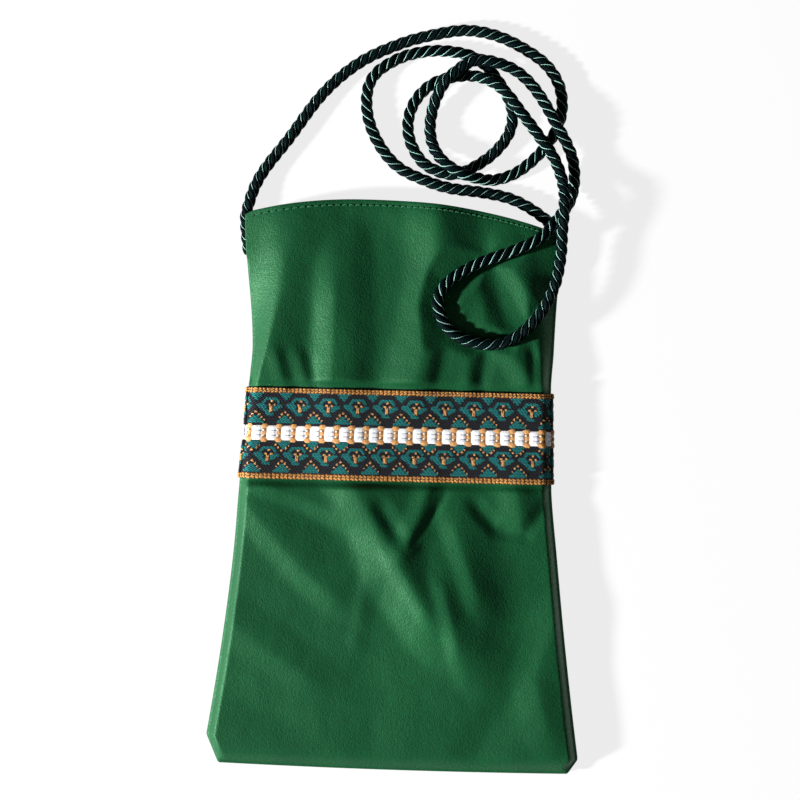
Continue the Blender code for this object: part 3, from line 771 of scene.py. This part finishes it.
def block_row(along, across):
    """The middle row of white blocks and tan knots: a thread and how far it stands up, with painted shade
    in the notches, the rib grooves and between the knots, and painted pale glints.
    """
    knot = beside(along, BLOCK_START + PATTERN_REPEAT / 4, PATTERN_REPEAT / 2)
    outer = dome(knot, abs(across) - OUTER_KNOT_ACROSS, *OUTER_KNOT_HALVES)
    if outer > KNOT_FROM:
        return "knot", OUTER_KNOT_RISE * outer
    block = beside(along, BLOCK_START, PATTERN_REPEAT / 2)
    if abs(block) < BLOCK_HALF_WIDTH and abs(across) < BLOCK_HALF_HEIGHT:
        rib = beside(across, 0.0, RIB_HEIGHT)
        puff = math.sqrt(max(0.0, 1.0 - (rib / RIB_HALF) ** 2))
        ends = max(0.0, 1.0 - (block / BLOCK_HALF_WIDTH) ** 4)
        from_end = BLOCK_HALF_WIDTH - block
        between = RIB_HEIGHT / 2 - abs(rib)
        inner = abs(across) < RIB_HEIGHT
        # The V notches between the rib ends get painted shade
        if inner and between < NOTCH_HALF * (1.0 - from_end / NOTCH_DEPTH):
            return "notch shade", NOTCH_RISE
        # The grooves between the ribs get painted shade
        groove_shaded = inner and between < GROOVE_SHADE_HALF and block > GROOVE_SHADE_START
        rise = BLOCK_RISE * math.sqrt(ends) * (RIB_FLOOR + (1.0 - RIB_FLOOR) * puff)
        return ("white groove shade" if groove_shaded else "white"), rise
    # Small raised dots coloured as painted pale glints
    glint_along, glint_across = GLINT_PLACE
    if dome(knot - glint_along, abs(across) - glint_across, *GLINT_HALVES) > 0.0:
        return "cream glint", GLINT_RISE
    middle = dome(knot - MIDDLE_KNOT_ALONG, across, *MIDDLE_KNOT_HALVES)
    if middle > KNOT_FROM:
        return "knot", MIDDLE_KNOT_RISE * middle
    # Between the knots the ground gets painted shade
    return "knot gap shade", KNOT_GAP_RISE


def thread_at(along, across):
    """Which thread shows at a place of the band, and how far it stands up, in millimetres."""
    inset = BAND_WIDTH / 2 / MM - abs(across)
    # A black line only along the band's top rim, BLACK_LINE wide
    if inset < BLACK_LINE and across > 0:
        return "black", 0.0
    if inset < SELVEDGE:
        strand = braid(along, inset)
        # Between the strands the braid gets painted shade
        return ("braid" if strand > BRAID_SHADE_BELOW else "braid gap shade"), BRAID_LOW + BRAID_RISE * strand
    block, rise = block_row(along, across)
    past_gap = block == "knot gap shade" and abs(across) > KNOT_GAP_HALF_HEIGHT
    if abs(across) < KNOT_ROW_HALF_HEIGHT and not past_gap:
        return block, rise
    top = UPPER_FIELD_TOP if across > 0 else LOWER_FIELD_TOP
    down = top - across
    leaning = along + PATTERN_LEAN * (UPPER_FIELD_TOP - across)
    motif = beside(leaning, PATTERN_START, PATTERN_REPEAT)
    between = beside(leaning, PATTERN_START + PATTERN_REPEAT / 2, PATTERN_REPEAT)
    kind = "black"
    tan_between = TAN_RUNS_BETWEEN + (TAN_RUNS_HANGING if across < 0 else ())
    if in_any(motif, down, TAN_RUNS) or in_any(between, down, tan_between):
        kind = "tan"
    elif in_any(motif, down, TEAL_RUNS) or in_any(between, down, TEAL_RUNS_BETWEEN):
        kind = "teal"
    return kind, THREADS[kind][1]


def girth(y, stations):
    """The bag's section at y, from the back's left end over the front to the back's right end."""
    front = front_places(stations, np.full_like(stations, y))
    front = [Vector((place[0], place[2])) for place in front]
    ring = []
    for before, point, after in zip([front[0], *front], front, [*front[1:], front[-1]]):
        along = (after - before).normalized()
        ring.append((point, Vector((-along.y, along.x))))
    left, right = front[0], front[-1]
    radius = SEAM_FOLD_RADIUS
    low = float(back_edge_height(y)) + radius

    def quarter(x, height, turns):
        places = []
        for step in range(1, SIDE_CELLS + 1):
            angle = (turns + step / SIDE_CELLS) * math.pi / 2
            out = Vector((math.sin(angle), math.cos(angle)))
            places.append((Vector((x, height)) + out * radius, out))
        return places

    left_side = quarter(left.x, low, 2) + quarter(left.x, left.y - radius, 3)[:-1]
    right_side = quarter(right.x, right.y - radius, 0) + quarter(right.x, low, 1)
    back_count = len(stations) - 1
    back = []
    for index in range(1, back_count + 1):
        x = right.x + (left.x - right.x) * index / back_count
        back.append((Vector((x, low - radius)), Vector((0.0, -1.0))))
    return left_side + ring + right_side + back


def woven_band(finish):
    """The jacquard ribbon: a face for each small stitch, coloured by its thread, closed round the bag."""
    stations = np.linspace(-1.0, 1.0, round(WAIST_WIDTH / MM / CELL) + 1)
    heights = [BAND_LOW_Y + BAND_WIDTH * row / BAND_CELL_ROWS for row in range(BAND_CELL_ROWS + 1)]
    middle = [place for place, out in girth(BAND_CENTRE_Y, stations)]
    lengths = [0.0]
    for before, after in zip(middle, middle[1:]):
        lengths.append(lengths[-1] + (after - before).length / MM)
    first = 2 * SIDE_CELLS - 1
    along = [length - lengths[first] + middle[first].x / MM for length in lengths]
    fall = heights[0] - heights[-1]
    backs = [heights[-1] + fall * row / BAND_BACK_ROWS for row in range(BAND_BACK_ROWS + 1)]
    shape, grid = grid_shape(len(middle), len(heights) + len(backs) + 1)
    for line, y in zip(grid, heights):
        across = (y - BAND_CENTRE_Y) / MM
        inset = max(BAND_WIDTH / 2 / MM - abs(across), 0.0)
        rim = RIM_FALL * math.cos(math.pi / 2 * min(inset / RIM_RUN, 1.0))
        for vert, spot, (place, out) in zip(line, along, girth(y, stations)):
            rise = thread_at(spot, across)[1] - rim
            far = place + out * (CLEARANCE + BAND_THICKNESS + (rise - PATTERN_SINK) * MM)
            scallop = SCALLOP * MM * math.cos(2 * math.pi * spot / BRAID_PITCH) * (inset < SCALLOP_INSET)
            vert.co = (far.x, y + math.copysign(scallop, across), max(far.y, BAND_LOWEST))
    for line, y in zip(grid[len(heights) : -1], backs):
        for vert, (place, out) in zip(line, girth(y, stations)):
            near = place + out * CLEARANCE
            vert.co = (near.x, y, near.y)
    for vert, twin in zip(grid[-1], grid[0]):
        vert.co = twin.co
    for line in grid:
        line[-1].co = line[0].co
    thread = shape.loops.layers.float_color.new("thread")
    shape.faces.ensure_lookup_table()
    across_count = len(middle) - 1
    for index, face in enumerate(shape.faces):
        row, column = divmod(index, across_count)
        kind = "black"
        if row < BAND_CELL_ROWS:
            spot = (along[column] + along[column + 1]) / 2
            across = (BAND_WIDTH * (row + 0.5) / BAND_CELL_ROWS - BAND_WIDTH / 2) / MM
            kind = thread_at(spot, across)[0]
        stitch = Vector((column * TONE_STEPS[0], row * TONE_STEPS[1], 3.0))
        tone = 1.0 + TONE_UNEVENNESS * noise.noise(stitch)
        colour, _, weave = THREADS[kind]
        for loop in face.loops:
            loop[thread] = (*(min(part * tone, BRIGHTEST) for part in colour), weave)
    stretch_uvs(shape, lengths[-1], len(grid) * BAND_WIDTH / MM / BAND_CELL_ROWS)
    seam = [vert for line in grid[1:-1] for vert in (line[0], line[-1])]
    bmesh.ops.remove_doubles(shape, verts=[*grid[0], *grid[-1], *seam], dist=0.0001)
    bmesh.ops.recalc_face_normals(shape, faces=shape.faces)
    return finished("woven_trim", shape, [finish])


# The cord


def cord_line():
    """Evenly spaced points on a smooth curve through the cord's route."""
    points = [Vector(point) * MM for point in CORD_ROUTE]
    ways = [
        (after - before).normalized()
        for before, after in zip([points[0], *points[:-1]], [*points[1:], points[-1]])
    ]
    fine = []
    for start, end, leaving, arriving in zip(points, points[1:], ways, ways[1:]):
        reach = (end - start).length / 3
        first, second = start + leaving * reach, end - arriving * reach
        for step in range(ROUTE_STEPS):
            t = step / ROUTE_STEPS
            s = 1.0 - t
            fine.append(start * s**3 + first * 3 * s * s * t + second * 3 * s * t * t + end * t**3)
    fine.append(points[-1])
    places = np.array(fine)
    for _ in range(ROUTE_SMOOTHINGS):
        places[1:-1] = (places[:-2] + 2 * places[1:-1] + places[2:]) / 4
    lengths = np.concatenate(([0.0], np.cumsum(np.linalg.norm(np.diff(places, axis=0), axis=1))))
    wanted = np.linspace(0.0, lengths[-1], round(lengths[-1] / CORD_STEP) + 1)
    line = np.stack([np.interp(wanted, lengths, places[:, axis]) for axis in range(3)], axis=1)
    line[:, 2] = np.maximum(line[:, 2], STRAND_OFFSET + STRAND_RADIUS)
    return line, wanted


def cord_frames(line):
    """Two steady side directions at each point of the cord."""
    tangents = directions(line)
    side = np.cross(tangents[0], (0.0, 0.0, 1.0))
    sides = []
    for tangent in tangents:
        side = side - tangent * np.dot(side, tangent)
        side /= np.linalg.norm(side)
        sides.append(side.copy())
    sides = np.array(sides)
    return sides, np.cross(tangents, sides)


def swept(centres, radius, sides_count, turns):
    """A round strand along a line of centres, with a map that counts its turns."""
    shape, grid = grid_shape(sides_count + 1, len(centres))
    stretch_uvs(shape, 1.0, turns)
    for line, centre, tangent in zip(grid, centres, directions(centres)):
        way = Vector(tangent)
        first = way.cross(Vector((0.0, 0.0, 1.0))).normalized()
        second = way.cross(first)
        for index, vert in enumerate(line):
            angle = 2 * math.pi * index / sides_count
            out = first * math.cos(angle) + second * math.sin(angle)
            vert.co = Vector(centre) + out * radius
    seam = [line[0] for line in grid] + [line[-1] for line in grid]
    bmesh.ops.remove_doubles(shape, verts=seam, dist=1e-6)
    bmesh.ops.holes_fill(shape, edges=[edge for edge in shape.edges if edge.is_boundary], sides=0)
    bmesh.ops.recalc_face_normals(shape, faces=shape.faces)
    return shape


def joined(target, part, finish_index):
    """Adds one bmesh to another with a finish."""
    for face in part.faces:
        face.material_index = finish_index
    scratch = bpy.data.meshes.new("scratch")
    part.to_mesh(scratch)
    part.free()
    target.from_mesh(scratch)
    bpy.data.meshes.remove(scratch)


def shoulder_cord(finishes):
    """Satin strands laid up to the left, with a thin pale yarn beside each."""
    line, lengths = cord_line()
    sides, ups = cord_frames(line)
    shape = new_shape()
    for index in range(STRANDS):
        phase = 2 * math.pi * index / STRANDS
        for finish_index, (offset, radius, ahead, count) in enumerate(CORD_MEMBERS):
            angles = phase + ahead - 2 * math.pi * lengths / CORD_LAY
            out = sides * np.cos(angles)[:, None] + ups * np.sin(angles)[:, None]
            part = swept(line + out * offset, radius, count, lengths[-1] / CORD_LAY)
            joined(shape, part, finish_index)
    made = finished("twisted_cord", shape, finishes)
    return made, line, float(lengths[-1])


# The mouth stitching


def stitch_places(reach):
    """Where the needle went through along the mouth, from left to right, as shares of its width."""
    places = [-reach]
    while places[-1] < reach:
        share = (places[-1] + reach) / (2 * reach)
        places.append(places[-1] + STITCH_PITCH_LEFT + (STITCH_PITCH_RIGHT - STITCH_PITCH_LEFT) * share)
    return [place / (MOUTH_WIDTH / 2) for place in places]


def mouth_stitching(name, places_at, up, reach, finishes):
    """Separate stitches that dip into their needle holes, with a flat dark oval of painted shade in each
    hole.
    """
    shape = new_shape()
    holes = stitch_places(reach)
    y = CREST_Y - STITCH_INSET
    for index, (start, end) in enumerate(zip(holes, holes[1:])):
        shares = start + (end - start) * np.linspace(*STITCH_ENDS, STITCH_POINTS)
        places = places_at(shares, np.full_like(shares, y))
        run = np.linspace(0.0, 1.0, STITCH_POINTS)
        slant = STITCH_SLANT * (1.0 + SLANT_UNEVENNESS * math.sin(index * SLANT_CHANGE))
        places[:, 1] += slant * (run - 0.5)
        rise = STITCH_RISE * np.sqrt(np.sin(np.pi * run)) - STITCH_DIP - 0.5 * STITCH_SINK
        places[:, 2] += up * rise
        joined(shape, swept(places, THREAD / 2, STITCH_SIDES, STITCH_TURNS), 0)
    # Each needle hole gets a flat dark oval of painted shade
    for share in holes:
        hole = new_shape()
        bmesh.ops.create_uvsphere(hole, u_segments=10, v_segments=6, radius=1.0)
        place = Vector(places_at(np.array([share]), np.array([y]))[0])
        place.z -= up * HOLE_SHADE_SINK
        bmesh.ops.scale(hole, vec=HOLE_SHADE_SIZE, verts=hole.verts)
        bmesh.ops.translate(hole, vec=place, verts=hole.verts)
        joined(shape, hole, 1)
    return finished(name, shape, finishes)


# Finishes

# The leather's sheen is greenish, as on an aniline dyed skin
SKIN_SHEEN_TINT = (0.45, 1.0, 0.55)
FIBRE_LEAN = 0.8


def feed(tree, socket, value):
    """Gives an input a number, a colour or another node's output."""
    if isinstance(value, bpy.types.NodeSocket):
        tree.links.new(value, socket)
    elif isinstance(value, tuple):
        socket.default_value = (*value, 1.0)
    else:
        socket.default_value = value


def new_node(tree, kind, given=(), **settings):
    """A shader node with its settings and some of its inputs given, each input by its name or place."""
    made = tree.nodes.new("ShaderNode" + kind)
    for key, value in settings.items():
        setattr(made, key, value)
    for key, value in dict(given).items():
        feed(tree, made.inputs[key], value)
    return made


def maths(tree, operation, *values):
    """One arithmetic node; each value is a number or another node's output."""
    return new_node(tree, "Math", enumerate(values), operation=operation).outputs[0]


def mixed(tree, share, dark, light):
    """A colour between two others by a mask."""
    return new_node(tree, "Mix", {0: share, 6: dark, 7: light}, data_type="RGBA").outputs[2]


def spread(tree, value, low, high, to_low=0.0, to_high=1.0):
    """A mask stretched from one range to another."""
    return new_node(tree, "MapRange", enumerate((value, low, high, to_low, to_high))).outputs[0]


def new_group(name, inputs, outputs):
    """An empty node group: its tree, what it is given (a place or numbers) and the numbers it gives."""
    tree = bpy.data.node_groups.new(name, "ShaderNodeTree")
    for label, value in inputs.items():
        kind = "NodeSocketVector" if value is None else "NodeSocketFloat"
        socket = tree.interface.new_socket(name=label, in_out="INPUT", socket_type=kind)
        if value is not None:
            socket.default_value = value
    for label in outputs:
        tree.interface.new_socket(name=label, in_out="OUTPUT", socket_type="NodeSocketFloat")
    return tree, tree.nodes.new("NodeGroupInput"), tree.nodes.new("NodeGroupOutput")


def leather_grain():
    """Fine pebbled skin with soft cloudy tone: a height, a pebble mask and a cloud mask."""
    inputs = {"Vector": None, "Pebble Size": 0.0009}
    tree, given, result = new_group("leather grain", inputs, ("Height", "Pebble", "Cloud"))
    place = given.outputs["Vector"]
    density = maths(tree, "DIVIDE", 1.0, given.outputs["Pebble Size"])
    sizes = {"Vector": place, "Scale": density, "Smoothness": 0.6}
    cells = new_node(tree, "TexVoronoi", sizes, feature="SMOOTH_F1")
    wider = maths(tree, "MULTIPLY", density, 0.45)
    creases = new_node(tree, "TexNoise", {"Vector": place, "Scale": wider, "Detail": 5.0, "Roughness": 0.6})
    cloud = new_node(tree, "TexNoise", {"Vector": place, "Scale": 34.0, "Detail": 4.0})
    pebble = maths(tree, "SUBTRACT", 1.0, cells.outputs["Distance"])
    height = maths(tree, "ADD", pebble, maths(tree, "MULTIPLY", creases.outputs["Fac"], 1.4))
    feed(tree, result.inputs["Height"], height)
    feed(tree, result.inputs["Pebble"], maths(tree, "MULTIPLY", height, 0.55))
    feed(tree, result.inputs["Cloud"], cloud.outputs["Fac"])
    return tree


def thread_weave():
    """Rounded slanted stitches on a map in millimetres: a height and a shade that darkens the gaps."""
    inputs = {"Vector": None, "Stitch Length": 3.0, "Stitch Height": 0.95, "Slant": 0.5, "Gap Shade": 0.12}
    tree, given, result = new_group("thread weave", inputs, ("Height", "Shade"))
    across, along, _ = new_node(tree, "SeparateXYZ", {0: given.outputs["Vector"]}).outputs
    down = maths(tree, "ADD", along, maths(tree, "MULTIPLY", across, given.outputs["Slant"]))
    rows = maths(tree, "DIVIDE", down, given.outputs["Stitch Height"])
    offset = maths(tree, "MULTIPLY", maths(tree, "FLOOR", rows), 0.38)
    places = maths(tree, "DIVIDE", across, given.outputs["Stitch Length"])
    places = maths(tree, "ADD", places, offset)
    waves = []
    for value, fullness in ((rows, 0.6), (places, 0.3)):
        turned = maths(tree, "SINE", maths(tree, "MULTIPLY", value, math.pi))
        waves.append(maths(tree, "POWER", maths(tree, "ABSOLUTE", turned), fullness))
    woven = maths(tree, "MULTIPLY", *waves)
    feed(tree, result.inputs["Height"], woven)
    feed(tree, result.inputs["Shade"], spread(tree, woven, 0.0, 1.0, given.outputs["Gap Shade"], 1.6))
    return tree


GRAIN = leather_grain()
WEAVE = thread_weave()


def new_material(name, roughness, specular, sheen=0.0):
    """A material with its tree and its shader."""
    made = bpy.data.materials.new(name)
    made.use_nodes = True
    shader = made.node_tree.nodes["Principled BSDF"]
    shader.inputs["Roughness"].default_value = roughness
    shader.inputs["Specular IOR Level"].default_value = specular
    shader.inputs["Sheen Weight"].default_value = sheen
    return made, made.node_tree, shader


def bumped(tree, shader, height, distance):
    """Relief from a height mask at full strength."""
    bump = new_node(tree, "Bump", {"Height": height, "Distance": distance, "Strength": 1.0})
    feed(tree, shader.inputs["Normal"], bump.outputs[0])


def leather(name, dark, light, roughness, pebble, depth, specular, sheen=0.0):
    """Soft dyed skin in one pair of tones, with painted shade in the grain's hollows."""
    made, tree, shader = new_material(name, roughness, specular, sheen)
    place = new_node(tree, "TexCoord").outputs["Object"]
    grain = new_node(tree, "Group", node_tree=GRAIN)
    feed(tree, grain.inputs["Pebble Size"], pebble)
    feed(tree, grain.inputs["Vector"], place)
    pebbled = grain.outputs["Pebble"]
    cloudy = mixed(tree, spread(tree, grain.outputs["Cloud"], 0.30, 0.70), dark, light)
    # Painted shade: the grain's low places take a darker copy of the dark tone
    hollow_shade = tuple(part * 0.80 for part in dark)
    toned = mixed(tree, spread(tree, pebbled, 0.45, 0.95), hollow_shade, cloudy)
    feed(tree, shader.inputs["Base Color"], toned)
    rough = spread(tree, pebbled, 0.5, 1.0, roughness + 0.12, roughness - 0.05)
    feed(tree, shader.inputs["Roughness"], rough)
    bumped(tree, shader, grain.outputs["Height"], depth)
    return made


def woven_finish():
    """The band's threads, coloured stitch by stitch and shaded by a fine weave."""
    made, tree, shader = new_material("woven trim threads", 0.75, 0.18)
    colour = new_node(tree, "Attribute", attribute_name="thread")
    uv = new_node(tree, "UVMap", uv_map="UVMap")
    weave = new_node(tree, "Group", node_tree=WEAVE)
    feed(tree, weave.inputs["Vector"], uv.outputs[0])
    shade = spread(tree, colour.outputs["Alpha"], 0.0, 1.0, 1.0, weave.outputs["Shade"])
    shaded = new_node(tree, "VectorMath", operation="SCALE")
    feed(tree, shaded.inputs[0], colour.outputs["Color"])
    feed(tree, shaded.inputs["Scale"], shade)
    feed(tree, shader.inputs["Base Color"], shaded.outputs[0])
    relief = maths(tree, "MULTIPLY", weave.outputs["Height"], colour.outputs["Alpha"])
    bumped(tree, shader, relief, 0.00090)
    return made


def strand_finish(name, dark, light, roughness, specular, fibres):
    """Satin filaments that run along a strand, on a map that counts turns."""
    made, tree, shader = new_material(name, roughness, specular)
    uv = new_node(tree, "UVMap", uv_map="UVMap")
    around, along, _ = new_node(tree, "SeparateXYZ", {0: uv.outputs[0]}).outputs
    around = maths(tree, "MULTIPLY", around, fibres)
    along = maths(tree, "MULTIPLY", along, fibres * FIBRE_LEAN)
    turned = maths(tree, "MULTIPLY", maths(tree, "ADD", around, along), 2 * math.pi)
    wave = maths(tree, "MULTIPLY", maths(tree, "SINE", turned), 0.5)
    place = new_node(tree, "TexCoord").outputs["Object"]
    fuzz = new_node(tree, "TexNoise", {"Vector": place, "Scale": 900.0, "Detail": 3.0})
    uneven = maths(tree, "ADD", wave, fuzz.outputs["Fac"])
    tone = mixed(tree, spread(tree, uneven, 0.1, 1.0), dark, light)
    feed(tree, shader.inputs["Base Color"], tone)
    bumped(tree, shader, uneven, 0.00012)
    return made


skin = leather(
    "green leather", (0.0032, 0.062, 0.0205), (0.0056, 0.090, 0.0276),
    roughness=0.49, pebble=0.00072, depth=0.00013, specular=0.38,
)
skin_shader = skin.node_tree.nodes["Principled BSDF"]
skin_shader.inputs["Specular Tint"].default_value = (*SKIN_SHEEN_TINT, 1.0)
flesh_side = leather(
    "leather flesh side", (0.020, 0.110, 0.045), (0.030, 0.150, 0.065),
    roughness=0.85, pebble=0.0005, depth=0.00012, specular=0.20, sheen=0.2,
)
cut_edge = leather(
    "leather cut edge", (0.008, 0.060, 0.022), (0.014, 0.095, 0.036),
    roughness=0.70, pebble=0.0005, depth=0.00010, specular=0.25,
)
# Painted shade for the needle holes: a near black finish on the ovals in them
hole_shade = leather(
    "needle hole", (0.0006, 0.005, 0.002), (0.0010, 0.008, 0.003),
    roughness=0.9, pebble=0.0004, depth=0.00005, specular=0.1,
)
trim_threads = woven_finish()
satin = strand_finish(
    "twisted satin cord", (0.0007, 0.0030, 0.0038), (0.0013, 0.0060, 0.0070),
    roughness=0.50, specular=0.02, fibres=9.0,
)
pale_yarn = strand_finish(
    "pale cord yarn", (0.19, 0.40, 0.32), (0.36, 0.62, 0.52),
    roughness=0.50, specular=0.25, fibres=2.0,
)
green_thread = strand_finish(
    "green sewing thread", (0.012, 0.12, 0.048), (0.030, 0.20, 0.085),
    roughness=0.55, specular=0.20, fibres=3.0,
)

# Camera

camera_data = bpy.data.cameras.new("camera")
camera_data.sensor_width = SENSOR
camera_data.lens = SENSOR * CAMERA_HEIGHT / (PHOTO_PIXELS * METRES_PER_PIXEL)
camera = bpy.data.objects.new("camera", camera_data)
bpy.context.scene.collection.objects.link(camera)
photo_middle = Vector((PHOTO_PIXELS / 2 - BAG_PIXEL[0], BAG_PIXEL[1] - PHOTO_PIXELS / 2, 0.0))
photo_middle *= METRES_PER_PIXEL
photo_middle.rotate(Matrix.Rotation(VIEW_ROLL, 3, "Z"))
camera.location = photo_middle + Vector((0.0, 0.0, CAMERA_HEIGHT))
camera.rotation_euler = (0.0, 0.0, VIEW_ROLL)
bpy.context.scene.camera = camera

# The pieces

cord, cord_centres, cord_length = shoulder_cord([satin, pale_yarn])
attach(cord, "root")
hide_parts("shoulder_cord")

front = panel("leather_front", front_places, 1, COLUMN_PITCH, [skin, flesh_side, cut_edge])
back = panel("leather_back", back_places, -1, BACK_COLUMN_PITCH, [skin, flesh_side, cut_edge])
for piece, node, under in ((front, "front_panel", "back_panel"), (back, "back_panel", "woven_band")):
    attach(piece, "root")
    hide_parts(node)

band = woven_band(trim_threads)
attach(band, "root")
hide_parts("woven_band")

for name, places_at, up, reach, node in (
    ("front_stitches", front_places, 1, STITCH_REACH_FRONT, "front_mouth_stitching"),
    ("back_stitches", back_places, -1, STITCH_REACH_BACK, "back_mouth_stitching"),
):
    stitches = mouth_stitching(name, places_at, up, reach, [green_thread, hole_shade])
    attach(stitches, "root")
    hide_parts(node)


# Floor, lights and background

FLOOR_HALF_SIZE = 4.0
FLOOR_GREY = (0.85, 0.85, 0.85)
FLOOR_GLOW = 0.82
WALL_LEVEL = 0.15
WALL_EDGES = (0.15, 0.45)
SKY_LEVEL = 0.06


def plain_floor():
    """A pale matt floor that shows only a soft shadow, and lights the object as plain grey does."""
    shape = bmesh.new()
    bmesh.ops.create_grid(shape, x_segments=1, y_segments=1, size=FLOOR_HALF_SIZE)
    made, tree, shader = new_material("pale floor", 0.9, 0.0)
    shader.inputs["Base Color"].default_value = (*FLOOR_GREY, 1.0)
    rays = new_node(tree, "LightPath").outputs
    seen = maths(tree, "MAXIMUM", rays["Is Camera Ray"], rays["Is Glossy Ray"])
    seen = maths(tree, "MAXIMUM", seen, rays["Is Transmission Ray"])
    glow = new_node(tree, "Emission")
    mix = new_node(tree, "MixShader", {0: maths(tree, "MULTIPLY", seen, FLOOR_GLOW)})
    feed(tree, mix.inputs[1], shader.outputs[0])
    feed(tree, mix.inputs[2], glow.outputs[0])
    feed(tree, tree.nodes["Material Output"].inputs["Surface"], mix.outputs[0])
    floor = finished("floor", shape, [made])


def area_light(name, place, target, size, energy):
    """A round light that looks at a place."""
    data = bpy.data.lights.new(name, "AREA")
    data.shape = "DISK"
    data.size = size
    data.energy = energy
    made = bpy.data.objects.new(name, data)
    made.location = place
    made.rotation_euler = (Vector(target) - Vector(place)).to_track_quat("-Z", "Y").to_euler()
    bpy.context.scene.collection.objects.link(made)


def pale_world():
    """White to the camera, faint to the object, and a little brighter low down in its reflections."""
    world = bpy.data.worlds.new("studio")
    bpy.context.scene.world = world
    world.use_nodes = True
    tree = world.node_tree
    background = tree.nodes["Background"]
    background.inputs["Color"].default_value = (1.0, 1.0, 1.0, 1.0)
    place = new_node(tree, "TexCoord").outputs["Generated"]
    up = new_node(tree, "SeparateXYZ", {0: place}).outputs[2]
    walls = spread(tree, up, *WALL_EDGES, WALL_LEVEL, SKY_LEVEL)
    rays = new_node(tree, "LightPath").outputs
    strength = maths(tree, "MAXIMUM", rays["Is Camera Ray"], rays["Is Transmission Ray"])
    for other in (maths(tree, "MULTIPLY", rays["Is Glossy Ray"], walls), SKY_LEVEL):
        strength = maths(tree, "MAXIMUM", strength, other)
    feed(tree, background.inputs["Strength"], strength)


plain_floor()
area_light("key", (-2.60, -0.65, 1.08), (0.0, 0.04, 0.0), 0.24, 258.0)
area_light("fill", (0.5, -0.9, 1.5), (0.0, 0.0, 0.0), 1.4, 1.2)
pale_world()
bpy.context.scene.view_settings.view_transform = "Standard"
